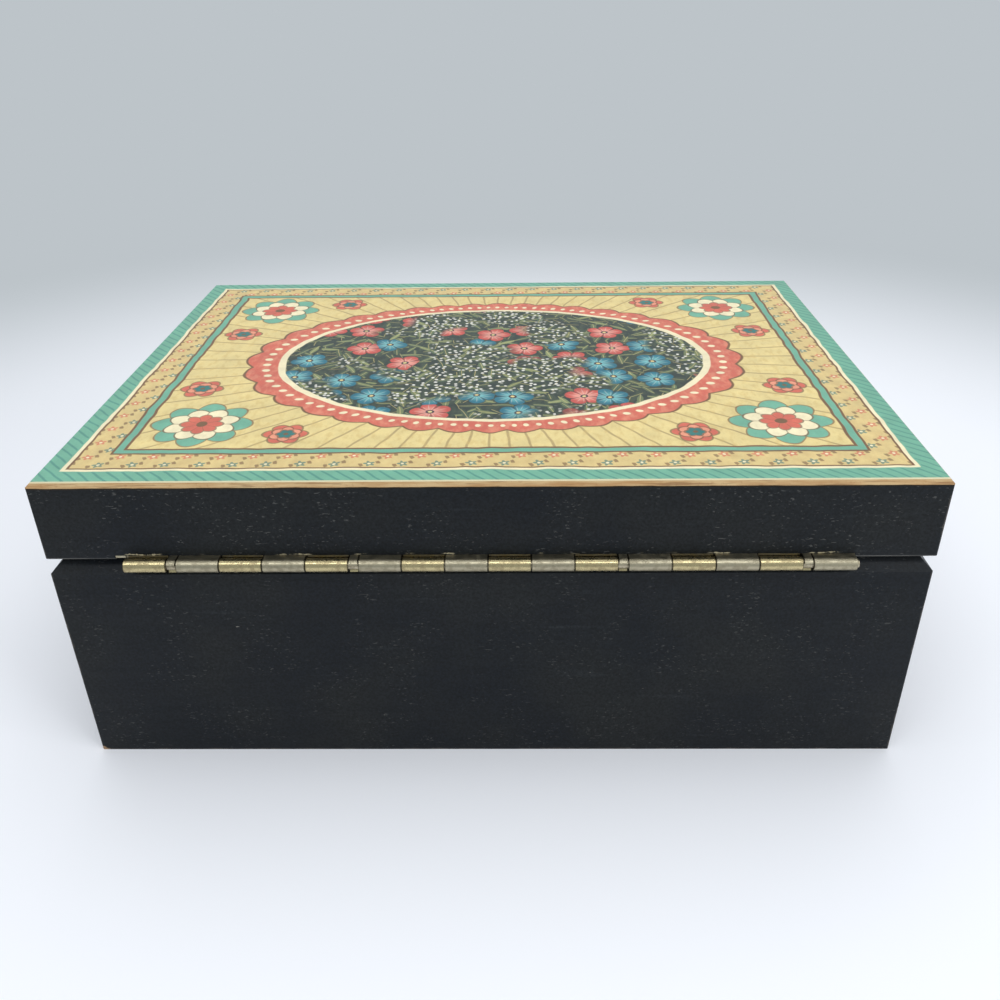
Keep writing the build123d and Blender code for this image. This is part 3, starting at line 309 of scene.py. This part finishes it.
def paint_colour(finish, wear):
    """Black paint with soft blotches, brush lines along the board and clusters of faint marks."""
    blotch = finish.noise(0.028, 3.0)
    brush = finish.noise(0.002, 3.0, BRUSHED)
    colour = finish.mix(blotch.fade(0.35, 0.7), BLACK, BLACK_WARM)
    colour = finish.mix(brush.fade(0.6, 0.8, 0.0, 0.3), colour, BLACK_GREY)
    clusters = finish.noise(0.011, 2.0, shift=(3.1, 0.7, 1.9)).fade(0.45, 0.57, 0.08, 1.0)
    level = flecks(finish, *LEVEL_SCRATCHES) * clusters
    slanted = flecks(finish, *SLANTED_SCRATCHES) * clusters
    deep = flecks(finish, *DEEP_SCRATCHES) * finish.noise(0.03, 1.0).fade(0.45, 0.55)
    mottle = finish.noise(0.0006, 3.0, roughness=0.7)
    colour = finish.shade(mottle.fade(0.3, 0.7, 0.6, 1.5), colour)
    colour = finish.mix(level.high(slanted) * wear, colour, SCUFF)
    colour = finish.mix(deep * 0.45, colour, DEEP_SCUFF)
    return colour, brush, level.high(slanted).high(deep)


def black_paint(name, low, high, wear, chips=()):
    """Satin black paint on wood, rubbed along the edges, with small chips down to the wood."""
    finish = Finish(name, roughness=0.5, specular_ior_level=0.19)
    colour, brush, marks = paint_colour(finish, wear)
    fuzz = finish.noise(0.0012, 2.0)
    edge = edge_distance(finish, low, high) + (fuzz - 0.5) * 0.9 * MM
    rubbed = edge.below(0.25 * MM, 0.22 * MM) * finish.noise(0.006, 2.0).fade(0.42, 0.62)
    colour = finish.mix(rubbed * 0.4, colour, RUBBED)
    spots = finish.noise(0.0028, 1.0, shift=(2.0, 5.0, 1.0)).fade(0.74, 0.77)
    nicks = edge.below(0.18 * MM, 0.08 * MM) * spots
    for corner, reach in chips:
        broken = corner_distance(finish, corner) + (fuzz - 0.5) * 2.2 * MM
        nicks = nicks.high(broken.below(reach, 0.2 * MM))
    finish.colour = finish.mix(nicks * 0.85, colour, BARE_WOOD)
    finish.set("Base Color", finish.colour)
    finish.set("Roughness", brush.fade(0.3, 0.8, 0.44, 0.58))
    finish.relief(brush * 0.6 + fuzz * 0.2 - nicks * 1.5 - marks * 0.2, 0.05 * MM)
    return finish


def mortise_chips(finish, colour):
    """Paint broken away in places along the slot over the hinge, down to pale filler."""
    along = finish.noise(0.011, 2.0, (1.0, 0.0, 0.0), shift=(4.2, 0.0, 0.0)).fade(0.52, 0.6)
    wander = (finish.noise(0.005, 2.0, (1.0, 1.0, 0.0)) - 0.5) * 0.6 * MM
    ragged = (finish.noise(0.0008, 3.0, shift=(0.7, 0.2, 0.5)) - 0.5) * 0.9 * MM
    height = abs(finish.z - CHIP_LEVEL + wander) + ragged
    near = height.below(0.1 * MM, 0.08 * MM) * abs(finish.x).below(HINGE_HIGH.x, MM)
    near = near * finish.y.fade(BASE_BACK - 2.0 * MM, BASE_BACK - 1.0 * MM)
    return finish.mix(near * along * 0.8, colour, FILLER)


def lid_paint():
    """The lid rails' black paint, with a pale painted highlight along their lower outer edge."""
    finish = black_paint("lid_paint", LID_BOX_LOW, LID_BOX_HIGH, LID_WEAR)
    outer = edge_distance(finish, LID_BOX_LOW, LID_BOX_HIGH).below(0.8 * MM, 0.2 * MM)
    strength = finish.noise(0.009, 2.0).fade(0.4, 0.6, 0.4, 1.0)
    # Painted highlight: a pale line along the rails' rounded lower outer edge
    painted_edge_highlight = finish.z.below(EDGE_HIGHLIGHT_LEVEL, 0.12 * MM) * outer * strength
    shown = finish.mix(painted_edge_highlight * 0.8, finish.colour, EDGE_HIGHLIGHT)
    finish.set("Base Color", mortise_chips(finish, shown))
    return finish


# The lid's board: pale and dark fibre, darker flakes and veins, and the scorched line below
BOARD_DARK = tone(168, 131, 88)
BOARD_PALE = tone(194, 168, 125)
BOARD_FLAKE = tone(150, 112, 74)
BOARD_VEIN = tone(120, 88, 58)
SCORCHED = tone(40, 32, 22)


def tan_board():
    """Dense board of the lid panel: sanded tan bevel above, black paint on its upright edge."""
    finish = Finish("tan_board", roughness=0.72, specular_ior_level=0.19)
    fibre = finish.noise(0.0016, 4.0, (0.12, 0.12, 1.6), 0.62)
    flakes = finish.noise(0.0008, 3.0, shift=(0.3, 0.1, 0.2))
    veins = finish.noise(0.0006, 3.0, (0.06, 0.06, 1.6), shift=(0.2, 0.9, 0.4))
    colour = finish.mix(fibre.fade(0.3, 0.7), BOARD_DARK, BOARD_PALE)
    colour = finish.mix(flakes.fade(0.58, 0.75, 0.0, 0.4), colour, BOARD_FLAKE)
    colour = finish.mix(veins.fade(0.56, 0.66, 0.0, 0.6), colour, BOARD_VEIN)
    ragged = finish.noise(0.0021, 2.0, (0.4, 0.4, 1.0))
    level = finish.z + (ragged - 0.5) * 0.3 * MM
    scorched = level.below(BEVEL_LEVEL + 0.16 * MM, 0.06 * MM)
    colour = finish.mix(scorched, colour, SCORCHED)
    painted = level.below(BEVEL_LEVEL - 0.14 * MM, 0.04 * MM)
    paint = paint_colour(finish, LID_WEAR)[0]
    finish.set("Base Color", finish.mix(painted, colour, paint))
    finish.set("Roughness", painted.fade(0.0, 1.0, 0.75, 0.51))
    finish.relief((fibre + flakes * 0.5) * painted.flipped(), 0.1 * MM)
    return finish


# Colours of the printed sheet
PALE_YELLOW = tone(226, 206, 142)
CREAM = tone(240, 228, 188)
BEIGE = tone(206, 176, 118)
BROWN = tone(120, 88, 58)
TEAL = tone(112, 172, 146)
DARK_TEAL = tone(46, 116, 112)
CORAL = tone(206, 104, 84)
PALE_CORAL = tone(228, 150, 120)
DARK_GREEN = tone(42, 54, 48)
LEAF_GREEN = tone(98, 116, 80)
WHITE = tone(240, 238, 226)
PAPER_EDGE = tone(208, 200, 162)

# The corner flowers and their small neighbours: place and radius in millimetres, petals, colours
ROSETTES = (
    (66.5, 41.0, 11.5, 8.0, (TEAL, CREAM, CORAL)),
    (46.0, 46.5, 5.0, 6.0, (CORAL, PALE_CORAL, DARK_TEAL)),
    (72.5, 20.0, 5.0, 6.0, (CORAL, PALE_CORAL, DARK_TEAL)),
)


class Print:
    """The generic flower pattern on the lid, drawn in millimetres from the middle of the sheet."""

    # The bare rim of the sheet, how far an edge fades, and how far the painted lines wander
    margin = 0.3
    soft = 0.12
    sway = 1.1
    half_width = (PRINT_HIGH.x - PRINT_LOW.x) / 2 / MM - margin
    half_depth = (PRINT_HIGH.y - PRINT_LOW.y) / 2 / MM - margin

    # The oval in the middle, and the bands along the edges
    oval_stretch = 1.42
    garden_radius = 39.0
    bead_radius = 42.6
    scallop_radius = 44.7
    scallop_depth = 1.6
    border_width = 13.0
    band_width = 4.6
    sprig_spacing = 7.2

    def __init__(self):
        self.finish = Finish("printed_sheet", roughness=0.38, specular_ior_level=0.4)
        sway = self.finish.noise(0.006, 1.0, shift=(1.0, 2.0, 3.0)) - 0.5
        swerve = self.finish.noise(0.006, 1.0, shift=(5.0, 1.0, 2.0)) - 0.5
        self.u = self.finish.x / MM + sway * self.sway
        self.v = (self.finish.y - MIDDLE_Y) / MM + swerve * self.sway
        self.stroke = self.finish.noise(0.0016, 3.0, (1.0, 0.5, 1.0))
        self.colour = PALE_YELLOW

    def lay(self, mask, colour):
        """Paints the colour over what is there, where the mask is one."""
        self.colour = self.finish.mix(mask, self.colour, colour)

    def own_cells(self, size, randomness, shift):
        """For scattered motifs: the place in each cell from its middle, and its random numbers."""
        tree = self.finish.tree
        node = tree.nodes.new("ShaderNodeTexVoronoi")
        node.voronoi_dimensions = "2D"
        node.inputs["Scale"].default_value = 1.0 / size
        node.inputs["Randomness"].default_value = randomness
        place = tree.nodes.new("ShaderNodeCombineXYZ")
        connect(tree, self.u + shift, place.inputs[0])
        connect(tree, self.v + shift, place.inputs[1])
        tree.links.new(place.outputs[0], node.inputs["Vector"])
        middle = tree.nodes.new("ShaderNodeSeparateXYZ")
        tree.links.new(node.outputs["Position"], middle.inputs[0])
        along = self.u + shift - Field(tree, middle.outputs[0])
        across = self.v + shift - Field(tree, middle.outputs[1])
        return along, across, split_colour(self.finish, node.outputs["Color"])

    def leaves(self, area, size, long, wide, shift, colours):
        """Leaves of the given length and width that point every way, each with a pale rib."""
        along, across, (turn, kind, dark) = self.own_cells(size, 0.9, shift)
        angle = turn * 2 * math.pi
        length = along * angle.cos() + across * angle.sin()
        width = across * angle.cos() - along * angle.sin()
        share = length / long
        blade = (share * share).flipped() * wide - abs(width)
        mask = (blade * -1.0).below(0.0, self.soft) * area
        green = self.finish.mix(kind, *colours)
        self.lay(mask, self.finish.shade(dark * 0.5 + 0.6, green))
        rib = abs(width).below(0.1, 0.08) * mask
        self.lay(rib * 0.5, PALE_YELLOW)

    def blossoms(self, area, size, radius, shift):
        """Five-petalled flowers in two colours, with pale veins and a dark eye."""
        along, across, (turn, kind, _) = self.own_cells(size, 0.6, shift)
        reach = along.length(across)
        angle = across.angle(along) + turn * 2 * math.pi
        petal = abs((angle * 2.5).cos())
        rim = (petal.math("POWER", 0.6) * 0.36 + 0.64) * radius
        share = reach / rim
        shown = kind.below(0.72, 0.01) * area
        mask = share.below(1.0, 0.04) * shown
        first = self.finish.mix(share.fade(0.2, 0.9), tone(226, 150, 132), tone(196, 84, 74))
        second = self.finish.mix(share.fade(0.2, 0.9), tone(104, 176, 178), tone(38, 110, 128))
        body = self.finish.mix(turn.below(0.5, 0.01), second, first)
        self.lay(share.below(1.12, 0.05) * shown * 0.6, DARK_GREEN)
        self.lay(mask, self.finish.shade(self.stroke * 0.5 + 0.75, body))
        veins = abs((angle * 7.5).sin()).below(0.25, 0.2) * share.below(0.75, 0.2) * mask
        self.lay(veins * 0.35, WHITE)
        self.lay(petal.below(0.18, 0.12) * mask * 0.6, DARK_GREEN)
        self.lay(reach.below(radius * 0.2, 0.1) * shown, tone(60, 50, 60))
        self.lay(reach.below(radius * 0.1, 0.08) * shown, PALE_YELLOW)

    def sprays(self, area, size, radius, shift):
        """Tiny white flowers in loose drifts."""
        along, across, (kind, dark, _) = self.own_cells(size, 1.0, shift)
        dots = along.length(across).below(radius, radius * 0.4) * kind.below(0.75, 0.01)
        self.lay(dots * area, self.finish.shade(dark * 0.3 + 0.7, WHITE))

    def garden(self, area, drift):
        """Dark foliage with scattered blossoms and drifts of tiny white flowers."""
        ground = self.finish.mix(self.stroke.fade(0.4, 0.65), DARK_GREEN, tone(62, 74, 58))
        self.lay(area, ground)
        self.leaves(area, 3.4, 2.3, 0.62, 3.0, (DARK_GREEN, LEAF_GREEN))
        self.leaves(area, 5.2, 3.4, 0.8, 11.0, (tone(70, 92, 72), tone(136, 146, 98)))
        self.sprays(area * drift, 1.7, 0.42, 0.0)
        self.blossoms(area * drift.flipped(), 11.4, 5.0, 0.0)

    def sprigs(self, area):
        """Small sprigs in staggered rows on beige."""
        self.lay(area, self.finish.mix(self.stroke, BEIGE, PALE_YELLOW))
        for offset, motif in ((0.0, CORAL), (self.sprig_spacing / 2, DARK_TEAL)):
            across = (self.u + offset).repeat(self.sprig_spacing)
            along = (self.v + offset).repeat(self.sprig_spacing)
            reach = across.length(along)
            angle = along.angle(across)
            petals = (angle * 5.0).cos() * 0.32 + 1.0
            self.lay((reach - petals).below(0.0, self.soft) * area * 0.75, motif)
            self.lay(reach.below(0.36, 0.1) * area, CREAM)
            leaf = abs(reach - 1.9).below(0.42, self.soft)
            leaf = leaf * (angle * 2.0 + 0.8).sin().fade(0.72, 0.86)
            self.lay(leaf * area * 0.75, BROWN)

    def rosette(self, across, along, radius, petals, colours):
        """A round flower of pointed petals in three rings, each outlined in brown."""
        reach = across.length(along)
        angle = along.angle(across)
        outer, middle, inner = colours
        rings = ((1.0, outer, 0.0), (0.72, middle, math.pi / petals), (0.42, inner, 0.0))
        for share, colour, turn in rings:
            wave = abs(((angle + turn) * (petals / 2)).cos())
            rim = (wave * 0.24 + 0.76) * (radius * share)
            ring = (reach - rim).below(0.0, self.soft)
            self.lay((reach - rim).below(0.45, self.soft) * 0.8, BROWN)
            self.lay(ring, self.finish.shade(self.stroke * 0.35 + 0.84, colour))
            self.lay(wave.below(0.12, 0.1) * ring * 0.6, BROWN)
        self.lay(reach.below(radius * 0.12, self.soft), BROWN)

    def line(self, distance, place, half, colour):
        """A line where the distance has the given value."""
        self.lay(abs(distance - place).below(half, 0.1), colour)

    def ground(self, turn):
        """Thin brown rays from the middle, over pale yellow with beige strokes."""
        rays = abs(turn.repeat(math.pi / 36)) * self.u.length(self.v)
        self.lay(rays.below(0.28, 0.15) * 0.55, BROWN)
        self.lay(self.stroke.fade(0.45, 0.7, 0.0, 0.5), tone(206, 178, 110))

    def medallion(self, turn):
        """The oval of flowers in the middle, in a scalloped rim with a ring of beads."""
        oval = (self.u / self.oval_stretch).length(self.v)
        scalloped = oval - abs((turn * 18.0).cos()) * self.scallop_depth
        rim = scalloped.below(self.scallop_radius, self.soft)
        self.lay(scalloped.below(self.scallop_radius + 0.5, self.soft), BROWN)
        self.lay(rim, CORAL)
        self.lay(self.stroke.fade(0.4, 0.7) * rim * 0.6, PALE_CORAL)
        beads = abs(turn.repeat(math.pi / 48)) * oval * 1.2
        self.lay(beads.length(oval - self.bead_radius).below(0.75, 0.15), CREAM)
        self.line(oval, self.garden_radius + 0.6, 0.75, CREAM)
        drift = self.finish.noise(0.022, 1.0, shift=(0.0, 7.0, 0.0)).fade(0.5, 0.58)
        self.garden(oval.below(self.garden_radius, self.soft), drift)

    def border(self):
        """A band of sprigs between brown and teal lines, and a striped teal band at the edge."""
        edge = (abs(self.u) * -1.0 + self.half_width).low(abs(self.v) * -1.0 + self.half_depth)
        self.sprigs(edge.below(self.border_width, self.soft))
        self.line(edge, self.border_width + 0.3, 0.9, TEAL)
        self.line(edge, self.border_width - 0.8, 0.3, BROWN)
        self.line(edge, self.border_width + 1.5, 0.35, BROWN)
        self.lay(edge.below(self.band_width, self.soft), TEAL)
        stripes = abs((self.u + self.v).repeat(3.0)).below(0.35, self.soft)
        self.lay(stripes * edge.below(self.band_width - 0.7, self.soft) * 0.55, DARK_TEAL)
        self.line(edge, self.band_width + 0.1, 0.45, CREAM)
        self.line(edge, self.band_width + 0.8, 0.25, BROWN)

    def draw(self):
        """Lays the whole pattern on the sheet's top face; its thin edge is bare paper."""
        turn = self.v.angle(self.u)
        self.ground(turn)
        self.medallion(turn)
        for column, row, radius, petals, colours in ROSETTES:
            self.rosette(abs(self.u) - column, abs(self.v) - row, radius, petals, colours)
        self.border()
        painterly = self.finish.noise(0.004, 3.0, shift=(2.0, 2.0, 0.0))
        grain = self.finish.noise(0.0005, 2.0)
        shown = self.finish.shade(painterly * 0.36 + grain * 0.16 + 0.74, self.colour)
        top = abs(self.finish.z - PRINT_HIGH.z).below(0.05 * MM, 0.02 * MM)
        self.finish.set("Base Color", self.finish.mix(top, PAPER_EDGE, shown))
        self.finish.set("Roughness", painterly.fade(0.3, 0.7, 0.34, 0.44))
        self.finish.relief(grain * 0.5 + self.stroke, 0.02 * MM)
        return self.finish


# Painted shade in the gaps between the hinge's knuckles
JOINT_SHADE = tone(40, 34, 22)


def painted_joint_shade(finish):
    """One at the joints between the knuckles, darkened as painted shade of the gaps."""
    joints = []
    x = HINGE_HIGH.x / MM
    for index in range(KNUCKLE_COUNT):
        if index in STOP_KNUCKLES:
            joints.append(x)
            x -= STOP_GAP
        joints.append(x)
        x -= KNUCKLE_PITCH
    place = finish.x / MM
    nearest = abs(place - joints[0])
    for joint in joints[1:]:
        nearest = nearest.low(abs(place - joint))
    return nearest.below(JOINT_HALF, 0.08) * finish.y.fade(BASE_BACK - 0.2 * MM, BASE_BACK)


def worn_metal(name, bright, dull, size, roughness, shaded_joints=False):
    """Metal with dull spots of the given size, fine scratches and a grain."""
    finish = Finish(name, metallic=1.0)
    spots = finish.noise(size, 4.0, roughness=0.6)
    scratch = finish.noise(0.0005, 2.0, (0.15, 1.0, 1.0))
    colour = finish.mix(spots.fade(0.42, 0.62), bright, dull)
    if shaded_joints:
        # Painted shade: the metal darkened at the gaps between the knuckles
        colour = finish.mix(painted_joint_shade(finish) * 0.85, colour, JOINT_SHADE)
    finish.set("Base Color", finish.shade(scratch * 0.3 + 0.85, colour))
    finish.set("Roughness", spots.fade(0.35, 0.7, roughness, roughness + 0.2))
    finish.relief(scratch * 0.5 + spots, 0.02 * MM)
    return finish


def felt():
    """Short-piled felt: dense fibres and a soft sheen."""
    finish = Finish("felt", roughness=0.95, specular_ior_level=0.1)
    finish.set("Sheen Weight", 0.22)
    finish.set("Sheen Roughness", 0.4)
    finish.set("Sheen Tint", tone(170, 60, 72))
    fibres = finish.noise(0.0007, 3.0, roughness=0.7)
    tufts = finish.noise(0.006, 3.0)
    colour = finish.mix(fibres.fade(0.3, 0.7), tone(70, 14, 22), tone(122, 30, 40))
    finish.set("Base Color", finish.shade(tufts * 0.5 + 0.75, colour))
    finish.relief(fibres + tufts * 0.4, 0.35 * MM)
    return finish


def plain_wood():
    """Bare pale wood with grain along the board and thin darker veins."""
    finish = Finish("plain_wood", roughness=0.62, specular_ior_level=0.27)
    grain = finish.noise(0.004, 5.0, (0.07, 1.0, 1.0), 0.6)
    veins = finish.noise(0.0012, 3.0, (0.04, 1.0, 1.0))
    colour = finish.mix(grain.fade(0.3, 0.7), tone(198, 158, 108), tone(226, 194, 148))
    colour = finish.mix(veins.fade(0.58, 0.75, 0.0, 0.45), colour, tone(140, 98, 60))
    finish.set("Base Color", colour)
    finish.relief(veins + grain * 0.5, 0.08 * MM)
    return finish


def clear_sheet():
    """Clear acrylic with a faint haze of fine scratches."""
    finish = Finish("clear_cover", transmission_weight=1.0, ior=1.49, specular_ior_level=0.5)
    haze = finish.noise(0.003, 4.0, (1.0, 0.2, 1.0), 0.7)
    finish.set("Base Color", finish.mix(haze, tone(246, 250, 252), tone(236, 244, 246)))
    finish.set("Roughness", haze.fade(0.5, 0.75, 0.02, 0.12))
    return finish


def cast_metal():
    """Pale grey casting with a grainy skin."""
    finish = Finish("cast_metal", metallic=1.0)
    skin = finish.noise(0.0008, 3.0, roughness=0.65)
    cloud = finish.noise(0.01, 2.0)
    colour = finish.mix(cloud, tone(150, 150, 148), tone(184, 184, 180))
    finish.set("Base Color", finish.shade(skin * 0.3 + 0.85, colour))
    finish.set("Roughness", skin.fade(0.3, 0.7, 0.4, 0.6))
    finish.relief(skin, 0.08 * MM)
    return finish


def moulded_plastic():
    """Off-white moulded plastic with a soft mottle."""
    finish = Finish("governor_plastic", roughness=0.45, subsurface_weight=0.1)
    mottle = finish.noise(0.002, 3.0)
    finish.set("Base Color", finish.mix(mottle, tone(214, 210, 198), tone(232, 229, 218)))
    finish.set("Roughness", mottle.fade(0.3, 0.7, 0.38, 0.52))
    finish.relief(mottle, 0.01 * MM)
    return finish


# The tones of the floor, of the room's even light, and of the far room as the camera sees it
FLOOR_TONE = tone(242, 244, 248)
ROOM_TONE = tone(236, 241, 248)
FAR_TONE = tone(189, 196, 201)


def seen_directly(tree):
    """One for rays from the camera, and for mirrored and refracted ones."""
    path = tree.nodes.new("ShaderNodeLightPath")
    names = ("Is Camera Ray", "Is Glossy Ray", "Is Transmission Ray")
    camera, glossy, transmission = (Field(tree, path.outputs[name]) for name in names)
    return camera.high(glossy).high(transmission)


def blend_by(tree, share, first, second, output):
    """Goes from the first shader to the second as the share goes from none to one."""
    blend = tree.nodes.new("ShaderNodeMixShader")
    connect(tree, share, blend.inputs[0])
    tree.links.new(first.outputs[0], blend.inputs[1])
    tree.links.new(second.outputs[0], blend.inputs[2])
    tree.links.new(blend.outputs[0], tree.nodes[output].inputs["Surface"])


def stage_paper():
    """Smooth pale paper that goes over into the even tone of the far room."""
    finish = Finish("stage_paper", roughness=0.9, specular_ior_level=0.1)
    finish.set("Base Color", FLOOR_TONE)
    tree = finish.tree
    glow = tree.nodes.new("ShaderNodeEmission")
    glow.inputs["Color"].default_value = FAR_TONE
    away = finish.x.length(finish.y).fade(*FLOOR_FADE)
    blend_by(tree, away * seen_directly(tree), finish.shader, glow, "Material Output")
    return finish.material


def make_stage():
    mesh = bpy.data.meshes.new("stage_floor")
    half = FLOOR_HALF
    corners = [(-half, -half, 0.0), (half, -half, 0.0), (half, half, 0.0), (-half, half, 0.0)]
    mesh.from_pydata(corners, [], [(0, 1, 2, 3)])
    floor = bpy.data.objects.new("stage_floor", mesh)
    bpy.context.scene.collection.objects.link(floor)
    mesh.materials.append(stage_paper())


def area_light(name, place, size, power):
    """A soft rectangular lamp that points at the box."""
    data = bpy.data.lights.new(name, "AREA")
    data.shape = "RECTANGLE"
    data.size, data.size_y = size
    data.energy = power
    data.color = LAMP_COLOUR
    lamp = bpy.data.objects.new(name, data)
    lamp.location = place
    aim = Vector(LAMP_TARGET) - Vector(place)
    lamp.rotation_euler = aim.to_track_quat("-Z", "Y").to_euler()
    bpy.context.scene.collection.objects.link(lamp)


def make_lights():
    """An even room light with a plain background, and the soft lamps."""
    world = bpy.data.worlds.new("soft_room")
    world.use_nodes = True
    tree = world.node_tree
    room = tree.nodes["Background"]
    room.inputs["Color"].default_value = ROOM_TONE
    room.inputs["Strength"].default_value = ROOM_LEVEL
    shown = tree.nodes.new("ShaderNodeBackground")
    shown.inputs["Color"].default_value = FAR_TONE
    blend_by(tree, seen_directly(tree), room, shown, "World Output")
    bpy.context.scene.world = world
    for lamp in LAMPS:
        area_light(*lamp)


def make_camera():
    """A camera that stands and looks as the photograph's did."""
    sideways = Vector((-math.cos(CAMERA_YAW), -math.sin(CAMERA_YAW), 0.0))
    level = Vector((math.sin(CAMERA_YAW), -math.cos(CAMERA_YAW), 0.0))
    forward = level * math.cos(CAMERA_PITCH) - Vector((0.0, 0.0, math.sin(CAMERA_PITCH)))
    upward = sideways.cross(forward)
    right = sideways * math.cos(CAMERA_ROLL) + upward * math.sin(CAMERA_ROLL)
    up = upward * math.cos(CAMERA_ROLL) - sideways * math.sin(CAMERA_ROLL)
    data = bpy.data.cameras.new("camera")
    data.sensor_width = SENSOR
    data.lens = LENS
    data.shift_x = LENS_SHIFT
    data.clip_start = NEAREST_SEEN
    camera = bpy.data.objects.new("camera", data)
    camera.matrix_world = Matrix((right, up, -forward)).transposed().to_4x4()
    camera.location = CAMERA_PLACE
    bpy.context.scene.collection.objects.link(camera)
    bpy.context.scene.camera = camera


def dress_box():
    """The painted boards, the lid's board and its printed sheet."""
    base_paint = black_paint("base_paint", BASE_BOX_LOW, BASE_BOX_HIGH, BASE_WEAR, CHIPS)
    base_paint.put_on("base_back_board", "base_front_board", "base_left_board", "base_right_board")
    lid_paint().put_on("lid_back_rail", "lid_front_rail", "lid_left_rail", "lid_right_rail")
    tan_board().put_on("lid_panel")
    Print().draw().put_on("lid_print")


def dress_inside():
    """The felt of the wells and the lid, the bare wood, and the clear cover."""
    felt().put_on(
        "large_well_floor_felt",
        "large_well_wall_felts",
        "small_well_floor_felt",
        "small_well_wall_felts",
        "lid_lining",
    )
    plain_wood().put_on("floor_board", "long_divider", "cross_divider", "cover_cleats")
    clear_sheet().put_on("movement_cover")


# Worn metals: name, bright and dull tone, size of spots in metres, roughness, painted joint shade
HINGE_BRASS = ("hinge_brass", tone(192, 178, 136), tone(168, 154, 118), 0.0012, 0.22, True)
HINGE_GREY = ("hinge_grey", tone(172, 164, 140), tone(154, 146, 124), 0.0012, 0.32, True)
PIN_STEEL = ("pin_steel", tone(180, 170, 146), tone(150, 140, 118), 0.0015, 0.34)
TURNED_STEEL = ("turned_steel", tone(200, 200, 202), tone(160, 160, 162), 0.003, 0.25)
COMB_STEEL = ("comb_steel", tone(206, 208, 212), tone(176, 178, 182), 0.004, 0.22)
SPRING_STEEL = ("spring_steel", tone(120, 124, 134), tone(84, 86, 94), 0.004, 0.3)
MOVEMENT_BRASS = ("movement_brass", tone(232, 204, 124), tone(206, 172, 98), 0.005, 0.22)
KEY_METAL = ("key_metal", tone(224, 196, 120), tone(170, 144, 92), 0.004, 0.28)


def dress_metals():
    """The hinge, the screws, and the musical movement."""
    cast_metal().put_on("bedplate")
    moulded_plastic().put_on("governor_worm", "air_fan", "governor_wheel")
    worn_metal(*HINGE_BRASS).put_on("hinge_base_leaf")
    worn_metal(*HINGE_GREY).put_on("hinge_lid_leaf")
    worn_metal(*PIN_STEEL).put_on("hinge_pin")
    worn_metal(*TURNED_STEEL).put_on(
        "hinge_base_screws",
        "hinge_lid_screws",
        "mounting_screws",
        "comb_screws",
        "frame_screws",
        "cylinder_arbor",
        "governor_arbor",
        "winding_arbor",
        "arbor_collar",
        "stop_rod",
    )
    worn_metal(*COMB_STEEL).put_on("comb")
    worn_metal(*SPRING_STEEL).put_on("mainspring")
    worn_metal(*MOVEMENT_BRASS).put_on(
        "cylinder",
        "cylinder_cap",
        "cylinder_pinion",
        "cylinder_wheel",
        "cylinder_bracket",
        "spring_barrel",
        "barrel_cover",
        "governor_frame",
    )
    worn_metal(*KEY_METAL).put_on("winding_key")


make_stage()
make_lights()
make_camera()
dress_box()
dress_inside()
dress_metals()

bpy.context.scene.view_settings.view_transform = "Standard"
